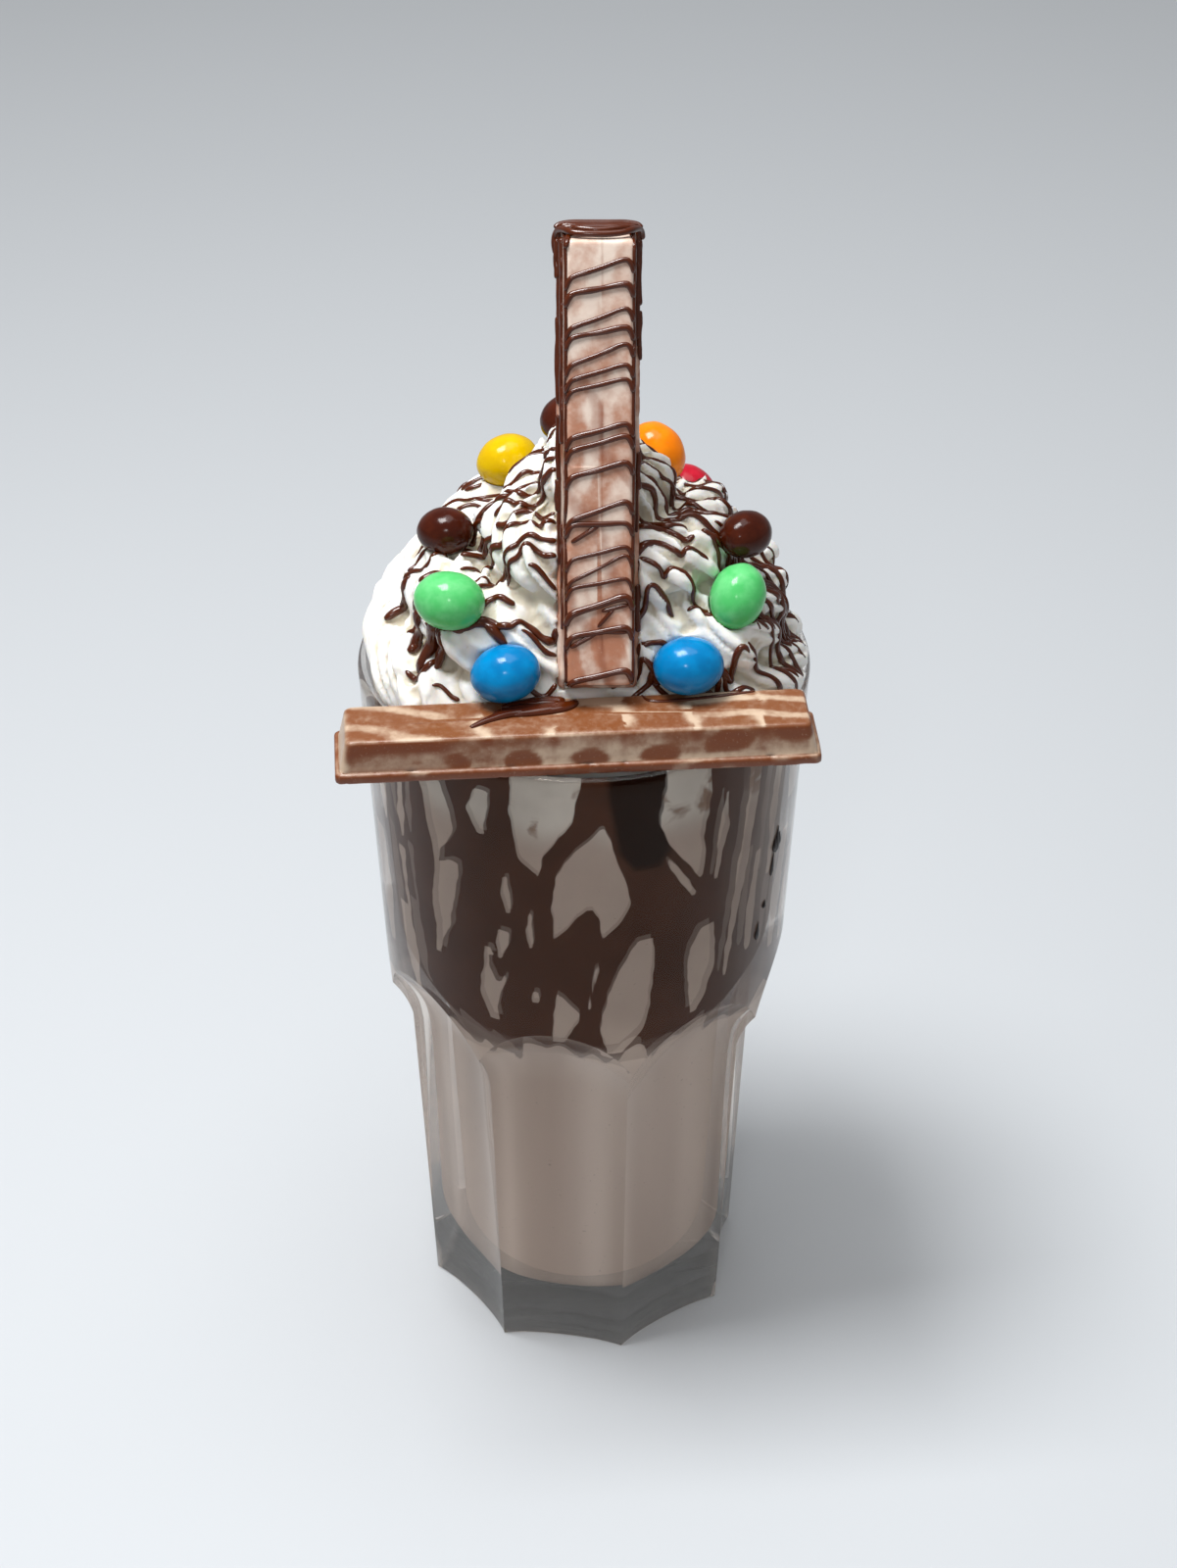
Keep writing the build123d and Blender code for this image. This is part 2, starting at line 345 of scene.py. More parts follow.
def wall_material():
    """Milkshake behind the glass, with sauce tongues and cream smeared on the wall, and painted light
    streaks in the drink below the sauce.
    """
    look = Shading("shake_and_sauce")
    place = look.coordinates()
    mottle = look.noise(place, 0.12, 4.0)
    # Pale vertical streaks in the drink are painted light, standing in for light that the concave flutes
    # gather onto it; they show below the sauce.
    streak = look.noise(look.coordinates((1, 1, 0.05)), 0.075, 1.0)
    shake = look.mix(look.ramp(streak, 0.3, 0.7), srgb("c4b4aa"), srgb("e0d2c9"))
    low_down = look.ramp(look.attribute("bare"), 3.2, 6.0)
    between_tongues = look.mix(mottle, srgb("b3a299"), srgb("c8b9ae"))
    shake = look.mix(low_down, between_tongues, shake)
    bubbles = look.ramp(look.noise(place, 1.1, 2.0), 0.68, 0.78, 0.0, 0.35)
    shake = look.mix(bubbles, shake, srgb("6f625c"))
    creamy = look.mix(mottle, srgb("c6c0b8"), srgb("e6e2db"))
    film = look.ramp(look.noise(place, 0.11, 3.0, 0.6), 0.55, 0.63, 0.0, 0.8)
    creamy = look.mix(film, creamy, srgb("7d583f"))
    shake = look.mix(look.attribute("creamy"), shake, creamy)
    sauce = look.mix(look.noise(place, 0.07, 3.0), srgb("3a2015"), srgb("5a392b"))
    # The thin share pales the sauce to grey: partly a thin film, partly painted light on the wall's left
    # and right sides.
    sauce = look.mix(look.attribute("thin"), sauce, srgb("968a84"))
    sauce = look.mix(look.attribute("thick"), sauce, srgb("1c0802"))
    dark = look.ramp(look.attribute("bare"), -0.18, 0.12, 1.0, 0.0)
    look.set(Base_Color=look.mix(dark, shake, sauce), Roughness=0.6, Specular_IOR_Level=0.0)
    look.bump(look.noise(place, 0.5, 3.0), 0.15, 0.2)
    return look.material


def cream_material():
    """Whipped cream: soft, with painted shade laid into its hollows as a darker, warm grey."""
    look = Shading("whipped_cream")
    place = look.coordinates()
    base = look.mix(look.noise(place, 0.1, 3.0), srgb("efece5"), srgb("f8f6f1"))
    # The hollow share is painted shade: it darkens and warms the cream's colour in its creases and hollows.
    hollow = look.ramp(look.attribute("hollow"), 0.05, 0.8)
    look.set(
        Base_Color=look.mix(hollow, base, srgb("dcd4c1")),
        Roughness=0.42,
        Subsurface_Weight=0.35,
        Subsurface_Radius=(0.004, 0.003, 0.002),
        Subsurface_Scale=0.6,
    )
    look.bump(look.noise(place, 1.3, 4.0), 0.22, 0.25)
    return look.material


def wafer_material(name, milk, white, cocoa):
    """Milk chocolate marbled with white chocolate; the marbling's shares, which also hold painted shade and
    painted highlights, lie on the vertices.
    """
    look = Shading(name)
    place = look.coordinates()
    grain = look.noise(place, 0.8, 5.0)
    soft = look.ramp(grain, 0.25, 0.75, -0.12, 0.12)
    pale = look.maths("ADD", look.attribute("white"), soft)
    colour = look.mix(look.ramp(pale, 0.0, 1.0), milk, white)
    colour = look.mix(look.ramp(look.attribute("cocoa"), 0.0, 1.0), colour, cocoa)
    scuff = look.ramp(look.noise(place, 2.2, 4.0), 0.6, 0.78, 0.0, 0.25)
    colour = look.mix(scuff, colour, white)
    look.set(Base_Color=colour, Specular_IOR_Level=0.5)
    look.set(Roughness=look.ramp(grain, 0.3, 0.7, 0.3, 0.42))
    look.bump(look.noise(place, 0.9, 5.0), 0.2, 0.18)
    return look.material


def sauce_material(name, dark, light):
    """Glossy dark chocolate sauce."""
    look = Shading(name)
    place = look.coordinates()
    look.set(
        Base_Color=look.mix(look.noise(place, 0.4, 2.0), dark, light),
        Roughness=0.16,
        Specular_IOR_Level=0.5,
    )
    look.bump(look.noise(place, 0.5, 2.0), 0.08, 0.1)
    return look.material


def candy_material(name, base, shade):
    """Polished sugar shell, a little uneven in colour."""
    look = Shading(name)
    place = look.coordinates()
    patch = look.ramp(look.noise(place, 0.3, 4.0), 0.35, 0.7)
    colour = look.mix(patch, base, shade)
    speck = look.ramp(look.noise(place, 1.6, 3.0), 0.66, 0.74, 0.0, 0.35)
    look.set(
        Base_Color=look.mix(speck, colour, tuple(0.8 * part + 0.03 for part in base)),
        Roughness=0.16,
        Specular_IOR_Level=0.24,
    )
    look.bump(look.noise(place, 0.7, 3.0), 0.12, 0.15)
    return look.material


# ---------------------------------------------------------------- glass
def circle_through(first, second, third):
    """Centre and radius of the circle through three points."""
    (ax, ay), (bx, by), (cx, cy) = first, second, third
    twice = 2 * (ax * (by - cy) + bx * (cy - ay) + cx * (ay - by))
    a2, b2, c2 = ax * ax + ay * ay, bx * bx + by * by, cx * cx + cy * cy
    x = (a2 * (by - cy) + b2 * (cy - ay) + c2 * (ay - by)) / twice
    y = (a2 * (cx - bx) + b2 * (ax - cx) + c2 * (bx - ax)) / twice
    return (x, y), math.hypot(ax - x, ay - y)


half_pitch = math.pi / flute_count
cusp_radius = math.hypot(
    flute_axis - body_radius * math.cos(half_pitch), body_radius * math.sin(half_pitch)
)
run_out_centre, run_out_radius = circle_through(
    (flute_radius_high, flute_height), (cusp_radius, cusp_height), (flute_axis - body_radius, arch_height)
)


def hollow_radius(height):
    """Radius of the cutter that hollows a flute, at a height."""
    if height <= flute_height:
        return flute_radius_low + (flute_radius_high - flute_radius_low) * height / flute_height
    rise = height - run_out_centre[1]
    return run_out_centre[0] + math.sqrt(max(run_out_radius**2 - rise**2, 0))


def wall_radius(height):
    """Outside radius of the round body."""
    share = max(height - body_height, 0) / (lip_height - body_height)
    return body_radius + (rim_radius - body_radius) * share


def flute_reach(angle, height):
    """Outside radius inside a flute, at an angle from its middle."""
    hollow = hollow_radius(height)
    across = flute_axis * math.sin(angle)
    reach = flute_axis * math.cos(angle) - math.sqrt(max(hollow**2 - across**2, 0))
    eased = flute_easing * max(1 - (angle / half_pitch) ** 2, 0)
    return reach + eased * (1 - float(smooth_step(height, easing_start, easing_end)))


def arch_line(angle):
    """Height where a flute meets the round body, at an angle from the flute's middle."""
    low, high = flute_height, arch_height + 2
    for _ in range(30):
        middle = (low + high) / 2
        if flute_reach(angle, middle) < wall_radius(middle):
            low = middle
        else:
            high = middle
    return low


def bore_profile(gap):
    """Radius and height up the bore, from the middle of the floor to the lip."""
    floor = base_thickness + gap
    low = bore_low_radius - gap
    points = [(low * share, floor) for share in (0.0, 0.35, 0.6)]
    centre = (low - floor_corner, floor + floor_corner)
    for step in range(11):
        angle = -math.pi / 2 + math.pi / 2 * step / 10
        reach = centre[0] + floor_corner * math.cos(angle)
        points.append((reach, centre[1] + floor_corner * math.sin(angle)))
    for step in range(1, 14):
        share = step / 13
        height = floor + floor_corner + (bore_waist_height - floor - floor_corner) * share
        points.append((low + (bore_high_radius - gap - low) * share, height))
    waist_slope, chest_slope = 0.036, 0.058
    for step in range(1, 25):
        share = step / 24
        height = bore_waist_height + (bore_chest_height - bore_waist_height) * share
        blend = share * share * (3 - 2 * share)
        lower = bore_high_radius + waist_slope * (height - bore_waist_height)
        upper = bore_body_radius - chest_slope * (bore_chest_height - height)
        points.append((lower + (upper - lower) * blend - gap, height))
    return points


def bore_radius(height):
    """Radius of the bore between its chest and the lip."""
    share = (height - bore_chest_height) / (glass_height - bore_chest_height)
    return bore_body_radius + (bore_rim_radius - bore_body_radius) * share


def glass_outside():
    """Rings of the outside, whose rows follow each arch, and the outward direction of each column."""
    per_flute = 36
    pitch = math.tau / flute_count
    lower_rows, bend_rows, upper_rows = 30, 22, 40
    outwards = np.zeros((per_flute * flute_count, 3))
    rings = np.zeros((lower_rows + bend_rows + upper_rows + 1, len(outwards), 3))
    for column in range(len(outwards)):
        angle = ((column % per_flute) / per_flute - 0.5) * pitch
        azimuth = flute_turn + 360 * (column // per_flute) / flute_count + math.degrees(angle)
        outwards[column] = direction(azimuth)
        arch = arch_line(angle)
        heights = [foot_round + (flute_height - foot_round) * row / lower_rows for row in range(lower_rows)]
        heights += [flute_height + (arch - flute_height) * row / bend_rows for row in range(bend_rows)]
        heights += [arch + (lip_height - arch) * row / upper_rows for row in range(upper_rows + 1)]
        for row, height in enumerate(heights):
            inside = row <= lower_rows + bend_rows
            reach = flute_reach(angle, height) if inside else wall_radius(height)
            reach = min(reach, body_radius if height < body_height else wall_radius(height))
            rings[row, column] = level_ring(outwards[column], reach, height)
    return list(rings), outwards


def foot_rings(lowest):
    """Flat base and the rounding up to the lowest ring of the outside, from the middle outwards."""
    rings = []
    for step in range(1, 4):
        ring = lowest.copy()
        tilt = math.pi / 2 * (1 - step / 4)
        ring[:, :2] *= 1 - (foot_round * (1 - math.cos(tilt)) / flute_inset)
        ring[:, 2] = foot_round * (1 - math.sin(tilt))
        rings.append(ring)
    edge = rings[0] * (0.975, 0.975, 0)
    hub = edge * (0.45, 0.45, 1)
    return [hub, edge] + rings


def glass_piece():
    """Fluted tumbler as one closed skin: foot, outside, lip and bore."""
    outside, outwards = glass_outside()
    rings = foot_rings(outside[0]) + outside
    for step in range(1, 16):
        tilt = math.pi * step / 16
        reach = lip_middle + lip_radius * math.cos(tilt)
        rings.append(level_ring(outwards, reach, lip_height + lip_radius * math.sin(tilt)))
    for step in range(31):
        height = lip_height + (bore_chest_height - lip_height) * step / 30
        rings.append(level_ring(outwards, bore_radius(height), height))
    for reach, height in reversed(bore_profile(0)[1:-1]):
        rings.append(level_ring(outwards, reach, height))
    points = np.concatenate(rings)
    points[:, :2] *= glass_scale
    piece = mesh_piece("glass_tumbler", points, capped_faces(len(rings), len(outwards)), glass_material())
    piece.data.set_sharp_from_angle(angle=math.radians(24))
    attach(piece, "root")
    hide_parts("glass")


# ---------------------------------------------------------------- drink and sauce on the wall
# Bare places between the sauce tongues: (height, left edge, right edge) in millimetres and degrees.
BARE_PLACES = [
    [(157, -109, -91), (148, -109, -93), (143, -108.5, -97), (138, -107.5, -101), (134, -102.5, -101.5)],
    [(146, -85.5, -84.5), (144, -87.5, -83.3), (140, -93.5, -82), (135, -97.5, -80), (127, -98.8, -76.8),
     (122, -98.7, -80.8), (118, -98.2, -86), (110, -88.2, -86), (101, -89, -88.2)],
    [(115, -94.3, -93), (112, -96.4, -91.6), (103, -97.8, -91), (97, -98.6, -92.2), (90, -100, -96)],
    [(117, -75, -71), (114, -77.5, -70.4), (105, -82.8, -70.6), (99, -85, -71), (94, -85, -72.5),
     (87, -83, -78)],
    [(116, -56, -52), (112, -59, -50.6), (105, -59.4, -50.2), (99, -58.6, -53), (95, -57.5, -56)],
    [(157, -68, -56), (149, -69.5, -55.5), (145, -70, -56), (140, -67, -57), (135, -62.5, -56),
     (130, -57.5, -56.6)],
    [(136, -67.6, -66.4), (130, -63.6, -60.8), (126, -59.6, -58.2)],
    [(148, -50.6, -49.6), (139, -52, -48.8), (128, -52.6, -51.4)],
    [(157, -43, -37), (145, -41.5, -37.5), (124, -44.5, -40.5), (107, -46.5, -44.5), (101, -46.4, -46)],
    [(152, -119, -115), (147, -122, -116), (142, -119.5, -116.5)],
    [(157, -139, -134), (147, -137, -128), (140, -135.5, -126.5), (134, -134.5, -131), (126, -134, -133)],
    [(132, -129, -125), (130, -134, -125.6), (121, -136, -128), (114, -135.6, -130.6), (107, -136, -134.4)],
    [(118, -113.6, -111), (115, -115, -111.8), (111, -114.4, -113.4)],
    [(113, -118.6, -116.6), (107, -119.6, -112), (101, -121, -114.6), (95, -118, -115.6)],
    [(132, -111.8, -111), (128, -112.6, -110.2), (124, -111.2, -110.4)],
    [(124, -105, -104.2), (120, -105.6, -104.2), (116, -104.8, -104.4)],
    [(104, -104.4, -102.8), (102, -104.4, -103)],
    [(151, -159, -152), (140, -160, -155), (131, -157, -156)],
    [(127, -149.5, -147), (119, -149, -147), (113, -147.6, -147.2)],
    [(148, -147, -144.5), (136, -149, -146), (131, -147.6, -147)],
    [(156, -29, -24), (138, -31, -27), (120, -30, -28)],
    [(126, -21, -17), (112, -25, -18), (98, -24, -21)],
    [(158, -20, -6), (146, -22, -9), (134, -19, -12)],
    [(118, -14, -6), (104, -17, -8), (96, -15, -12)],
    [(128, -36.5, -34), (114, -39, -35), (104, -37.5, -36)],
    [(158, -172, -164), (146, -174, -166), (128, -171, -168)],
    [(126, -166, -160), (112, -167, -158), (98, -163, -160)],
    [(112, -152, -147), (101, -151, -145), (92, -148, -146)],
]
# Sauce drops that run down over the bare places, given in the same way.
SAUCE_DROPS = [
    [(126, -89.5, -87.5), (124.5, -92, -85.8), (121, -94, -84.6), (117, -101, -84.8), (108, -102, -87.6),
     (99, -91, -89)],
    [(111, -117.4, -113.6), (108, -117, -112.6), (105.4, -115.6, -113.8)],
]
# The thickest drop, nearly black.
THICK_DROP = [(160, -84, -66), (154, -84, -68), (147, -82.5, -69.5), (139, -80.5, -66), (135.5, -77, -69)]


def scattered_bare_places():
    """Bare places like those at the front, for the rest of the wall."""
    draw = random.Random(11)
    places = []
    for column in range(17):
        azimuth = -8 + column * 11.2 + draw.uniform(-2.5, 2.5)
        top = draw.uniform(136, 158) if column % 2 else draw.uniform(116, 140)
        while top > 98:
            bottom = max(top - draw.uniform(9, 34), 90)
            width = draw.uniform(1.0, 6.0)
            turn = draw.uniform(-3.5, 3.5)
            place = []
            for share in (0, 0.15, 0.35, 0.55, 0.75, 0.9, 1):
                swell = 0.08
                if 0 < share < 1:
                    swell = math.sin(math.pi * share ** draw.uniform(0.6, 1.3)) ** 0.6
                middle = azimuth + turn * share
                left = middle - width * swell * draw.uniform(0.6, 1.25)
                right = middle + width * swell * draw.uniform(0.6, 1.25)
                place.append((top - (top - bottom) * share, left, right))
            places.append(place)
            top = bottom - draw.uniform(3, 12)
            azimuth += draw.uniform(-3, 3)
    return places


def depth_inside(place, azimuth, height):
    """How far, in millimetres, points of the wall are inside one place; below 0 they are outside."""
    heights, left, right = np.array(place, dtype=float)[::-1].T
    fine = np.linspace(heights[0], heights[-1], 80)
    blur = np.exp(-np.linspace(-1.6, 1.6, 9) ** 2)
    blur /= blur.sum()
    edges = []
    for edge in (left, right):
        padded = np.pad(np.interp(fine, heights, edge), 4, mode="edge")
        edges.append(np.interp(height, fine, np.convolve(padded, blur, "valid")))
    off = np.abs((azimuth - (edges[0] + edges[1]) / 2 + 180) % 360 - 180)
    inside = ((edges[1] - edges[0]) / 2 - off) * math.pi / 180 * bore_body_radius
    past = np.maximum(np.maximum(heights[0] - height, height - heights[-1]), 0)
    return np.where(past > 0, np.minimum(inside, 0.4 - past), inside)


def sine(degrees):
    """Sine of an angle in degrees."""
    return np.sin(np.radians(degrees))


def bare_field(azimuth, height):
    """How far, in millimetres, a place on the wall is inside a bare place; below 0 is sauce."""
    arc = math.pi / 180 * bore_body_radius
    wobble = np.array([
        0.55 * lumps((turn * arc, rise, 0), 2.6) + 0.8 * lumps((turn * arc, rise, 5), 7)
        for turn, rise in zip(azimuth, height)
    ])
    best = np.full(len(azimuth), -9.0)
    for place in BARE_PLACES + scattered_bare_places():
        best = np.maximum(best, depth_inside(place, azimuth, height))
    for place in SAUCE_DROPS:
        best = np.minimum(best, -depth_inside(place, azimuth, height))
    # the sauce ends in a wavy line with rounded tips hanging from it
    ends = 86.0 + 1.8 * sine(azimuth * 13) + 1.4 * sine(azimuth * 29 + 40)
    tips = np.maximum(np.sin(np.radians(azimuth * 25 + 20) + 1.1 * sine(azimuth * 6)), 0) ** 0.7
    ends -= tips * (2.2 + 1.7 * sine(azimuth * 9 + 50))
    return np.maximum(best + 0.6 * wobble, ends - height)


def drink_profile():
    """Radius and height of the drink's rings: floor, bore, film on the wall, film's edge and level."""
    rows = 118
    bore = bore_profile(-reach_in)
    radii, heights = np.array(bore).T
    profile = [(reach, height) for reach, height in bore if height < sauce_bottom]
    profile[0] = (bore_low_radius * 0.02, profile[0][1])
    for step in range(rows + 1):
        height = sauce_bottom + (film_top - sauce_bottom) * step / rows
        if height < bore_chest_height:
            reach = float(np.interp(height, heights, radii))
        else:
            reach = bore_radius(height) + reach_in
        profile.append((reach, height))
    profile += [(bore_radius(height) - film_thickness, height) for height in (film_top, drink_level)]
    return profile + [(0.5, drink_level)]


def wall_shares(azimuth, height):
    """What the wall's material reads off each vertex: bareness, cream, thin sauce and thick sauce; the thin
    share also holds painted light on the wall's left and right sides.
    """
    bare = np.full(len(height), 8.0)
    wall = height > sauce_bottom - 0.5
    bare[wall] = bare_field(azimuth[wall], height[wall])
    under = 5 * (bare > 0.3) * (1 - smooth_step(height, 82.5, 84))
    ripple = np.array([3.5 * lumps((turn * 0.25, 0, 3), 3.0) for turn in azimuth])
    streaks = np.array([lumps((turn * 0.5, rise * 0.05, 7), 2.0) for turn, rise in zip(azimuth, height)])
    # Paler sauce towards the wall's left and right sides, more higher up on the right: partly a thin film,
    # partly painted light coming through the glass's slanting sides.
    sides = bell(azimuth + 18, 21) * (0.5 + 0.5 * smooth_step(height, 98, 132)) + bell(azimuth + 166, 13)
    tips = 0.7 * (1 - smooth_step(height, 84.0, 87.0))
    return {
        "bare": np.where(wall, np.clip(bare, -3, 3) + under, bare),
        "creamy": smooth_step(height + ripple, 139.5, 148),
        "thin": np.clip(np.maximum(sides * (0.75 + 0.6 * streaks), tips), 0, 1),
        "thick": smooth_step(depth_inside(THICK_DROP, azimuth, height), -0.6, 0.9),
    }


def drink_piece():
    """Milkshake reaching just into the wall, and the smeared film above it up to the lip."""
    columns = 440
    outwards = all_round(columns)
    rings = [level_ring(outwards, reach, height) for reach, height in drink_profile()]
    points = np.concatenate(rings)
    piece = mesh_piece("chocolate_milkshake", points, capped_faces(len(rings), columns), wall_material())
    for name, values in wall_shares(azimuths(points), points[:, 2]).items():
        add_attribute(piece.data, name, values)
    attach(piece, "root")
    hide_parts("milkshake")


# ---------------------------------------------------------------- wafer fingers
class Seat:
    """Place of a piece: its origin and its own three axes."""

    def __init__(self, origin, along, out):
        self.origin = np.array(origin, dtype=float)
        along = np.array(along, dtype=float)
        out = np.array(out, dtype=float)
        self.axes = np.array([along, np.cross(out, along), out])

    def outward(self, points):
        """Points from the piece's own axes to the part's."""
        return np.asarray(points) @ self.axes + self.origin

    def inward(self, points):
        """Points from the part's axes to the piece's own."""
        return (np.asarray(points) - self.origin) @ self.axes.T


front = direction(lying_yaw - 90)
lying_reach = rim_radius - lying_inset
lying_seat = Seat(
    front * lying_reach + direction(lying_yaw) * lying_shift + (0, 0, glass_height + seat_gap),
    direction(lying_yaw),
    (0, 0, 1),
)
lying_back = lying_reach - (wafer_width / 2 - flange_ledge - side_slope)
foot_reach = lying_back - foot_gap - flange_height * math.cos(lean)
standing_up = np.array([0, math.sin(lean), math.cos(lean)])
standing_out = np.array(
    Matrix.Rotation(math.radians(standing_yaw), 3, Vector(standing_up))
    @ Vector((0, -math.cos(lean), math.sin(lean)))
)
standing_seat = Seat(
    np.array([standing_shift, -foot_reach, lying_top]) + standing_up * (standing_length / 2),
    standing_up,
    standing_out,
)


def slab_ring(half_length, half_width, corner, long_count, short_count, corner_count):
    """Rounded rectangle with a fixed number of points on each side and corner."""
    corner = min(corner, half_width * 0.98, half_length * 0.98)
    points = []
    straight = (half_length - corner, half_width - corner)
    corners = [(1, 1, 0), (-1, 1, 90), (-1, -1, 180), (1, -1, 270)]
    for number, (sx, sy, start) in enumerate(corners):
        centre = (sx * straight[0], sy * straight[1])
        for step in range(corner_count + 1):
            angle = math.radians(start + 90 * step / corner_count)
            points.append((centre[0] + corner * math.cos(angle), centre[1] + corner * math.sin(angle)))
        following = corners[(number + 1) % 4]
        end = (following[0] * straight[0], following[1] * straight[1])
        angle = math.radians(start + 90)
        begin = points[-1]
        finish = (end[0] + corner * math.cos(angle), end[1] + corner * math.sin(angle))
        count = long_count if number % 2 == 0 else short_count
        for step in range(1, count):
            share = step / count
            points.append(tuple(low + (high - low) * share for low, high in zip(begin, finish)))
    return np.array(points)


def lying_marbling(x, y, z, warp, fine):
    """Shares of white chocolate and cocoa on the lying finger, whose segments show as seams; painted shade
    on its side and a painted highlight along its top edges are laid in too.
    """
    height = z - flange_height
    segment_length = 12.9
    along = x + 4.3 + 0.9 * warp + 0.35 * fine
    segment = along / segment_length
    number = np.floor(segment)
    part = segment - number
    seam = np.minimum(part, 1 - part) * segment_length
    top = smooth_step(z, wafer_height - 0.7, wafer_height - 0.1)
    side = (1 - top) * smooth_step(z, flange_height, flange_height + 0.3)
    left_end = 1 - smooth_step(x, -28, -20)
    right_end = smooth_step(x, 18, 30)
    # the top: swooshes at the left, pale patches at the back and on the seams, streaks at the right
    stroke = np.sin(0.24 * x + 0.7 * y + 1.9 * warp + 0.2)
    white = 0.12 + 0.2 * fine + 0.12 * warp
    white += top * left_end * 0.5 * smooth_step(stroke, 0.1, 1.0)
    fan = bell(seam, 0.7 + 0.22 * (6 - np.abs(y + 1.5)))
    white += top * (1 - left_end) * 0.95 * fan * smooth_step(np.sin(1.9 * number + 0.4 * y), -0.4, 0.7)
    back = smooth_step(y + 1.6 * warp, 1.6, 3.6)
    patch = smooth_step(np.sin(0.27 * x + 0.9 * warp + 0.6), -0.1, 0.6)
    white += top * 0.95 * (back * patch) * smooth_step(x, -14, -7)
    streak = np.sin(1.15 * y + 0.12 * x + 1.5 * warp)
    white += top * right_end * 0.55 * smooth_step(streak, 0.1, 0.9)
    # the sides: rounded brown shapes between the seams, greyish beige above them; painted shade darkens the
    # whole side, its upper part most, as the side faces away from the light
    climb = 2.6 * smooth_step(x, 20, 27) + 1.6 * smooth_step(x, 31, 36)
    wide = 2.5 + 1.1 * smooth_step(x, -17, -12) + 0.9 * smooth_step(x, 20, 25)
    oval = ((part - 0.5) * segment_length / wide) ** 2
    oval += ((height - 0.9 - climb + 0.3 * fine) / 2.2) ** 2
    oval = (1 - smooth_step(oval + 0.35 * warp, 0.5, 1.5)) * smooth_step(x, -26, -22)
    brow = smooth_step(height + 0.8 * warp, 2.6, 5.6)
    foot = 1 - smooth_step(height + 0.5 * fine, 0.3, 1.3)
    white += side * (0.34 - 0.8 * oval - 0.22 * brow + 0.3 * warp + 0.2 * fine + 0.4 * foot)
    crack = bell(seam + 0.5 * fine, 0.7 + 0.6 * brow) * smooth_step(x, -32, -24)
    # The even cocoa share and the brow share on the side are painted shade; the ovals and the seams are the
    # finger's own marbling.
    cocoa = side * (0.5 * oval + (0.2 + 0.3 * brow) * crack + 0.2 * brow + 0.16 - 0.16 * foot)
    cocoa += side * left_end * 0.8 * bell(height - 5.2 + 0.12 * (x + 33) ** 2 / 9, 1.7)
    cocoa += side * left_end * 0.7 * bell(height - 0.2 - 0.5 * warp, 0.7)
    end = smooth_step(np.abs(x), lying_length / 2 - 3.2, lying_length / 2 - 1.6)
    white += end * (top + side) * 0.6
    cocoa *= 1 - 0.8 * end
    # painted highlight: lighter top edges, with less cocoa on them
    edge = bell(height - (wafer_height - flange_height - 0.35), 0.28) * (np.abs(y) > 5.2)
    white += 0.35 * edge * (0.6 + 0.5 * fine)
    return white, cocoa * (1 - 0.6 * edge)


def standing_marbling(x, y, z, warp, fine):
    """Shares of white chocolate and cocoa on the standing finger."""
    cloud = np.sin(0.23 * x + 0.45 * y + 2.4 * warp)
    white = 0.3 + 0.42 * smooth_step(cloud + 0.5 * fine, -0.1, 1.0) + 0.2 * fine
    streak = np.sin(0.8 * y - 0.16 * x + 1.8 * warp + 1.0)
    low = 1 - smooth_step(x, -standing_length / 2 + 10, -standing_length / 2 + 20)
    high = smooth_step(x, standing_length / 2 - 34, standing_length / 2 - 10)
    white += low * 0.5 * smooth_step(streak, 0.1, 0.8) - low * 0.3
    white += high * 0.3
    cocoa = 0.45 * smooth_step(np.sin(0.3 * x - 0.7 * y + 2.8 * warp), 0.3, 1.0) * (1 - 0.8 * high)
    middle = bell(y + 0.5 + 0.4 * warp, 0.3) * smooth_step(np.sin(0.19 * x + 0.6), 0.1, 0.5)
    return white - 0.25 * middle, cocoa + 0.3 * middle


def marbling(points, seed, pattern, rim_white, rim_cocoa):
    """Shares of white chocolate and cocoa over a finger, by its own axes, and on its flange's rim, with a
    painted highlight along the flange's upper edge.
    """
    x, y, z = points.T
    warp = np.array([lumps(point * (0.7, 1, 1), 8, seed) for point in points])
    fine = np.array([lumps(point * (0.6, 1, 1), 2.6, seed + 5) for point in points])
    white, cocoa = pattern(x, y, z, warp, fine)
    rim = 1 - smooth_step(z, flange_height - 0.1, flange_height + 0.15)
    blotch = smooth_step(fine + 0.4 * warp, 0.1, 0.5) * rim_white
    # A pale line along the flange's upper edge, with no cocoa on it, is a painted highlight.
    lip = bell(z - flange_height + 0.05, 0.14) * (0.6 + 0.4 * fine)
    white = white * (1 - rim) + rim * np.maximum(blotch, 0.75 * lip)
    cocoa = cocoa * (1 - rim) + rim * (rim_cocoa - 0.5 * blotch) * (1 - lip)
    return np.clip(white, 0, 1), np.clip(cocoa, 0, 1)


def wafer_profile():
    """Height, outset and share of the sides' slope of a finger's rings, from the bottom up."""
    levels = [(0.0, 0.9), (0.0, 0.35), (0.15, 0.1), (0.5, 0.0), (1.5, 0.0), (1.85, 0.12)]
    profile = [(height, -inset, 0.0) for height, inset in levels]
    profile += [(flange_height, -0.4, 0.0), (flange_height + 0.05, -flange_ledge + 0.15, 0.0)]
    rise = wafer_height - flange_height
    for step in range(9):
        share = 0.04 + (1 - 0.04 - wafer_edge / rise) * step / 8
        profile.append((flange_height + rise * share, -flange_ledge, share))
    for step in range(1, 6):
        angle = math.pi / 2 * step / 5
        share = 1 - wafer_edge / rise + wafer_edge / rise * math.sin(angle)
        inset = wafer_edge * (1 - math.cos(angle))
        profile.append((flange_height + rise * share, -flange_ledge - inset, share))
    return profile


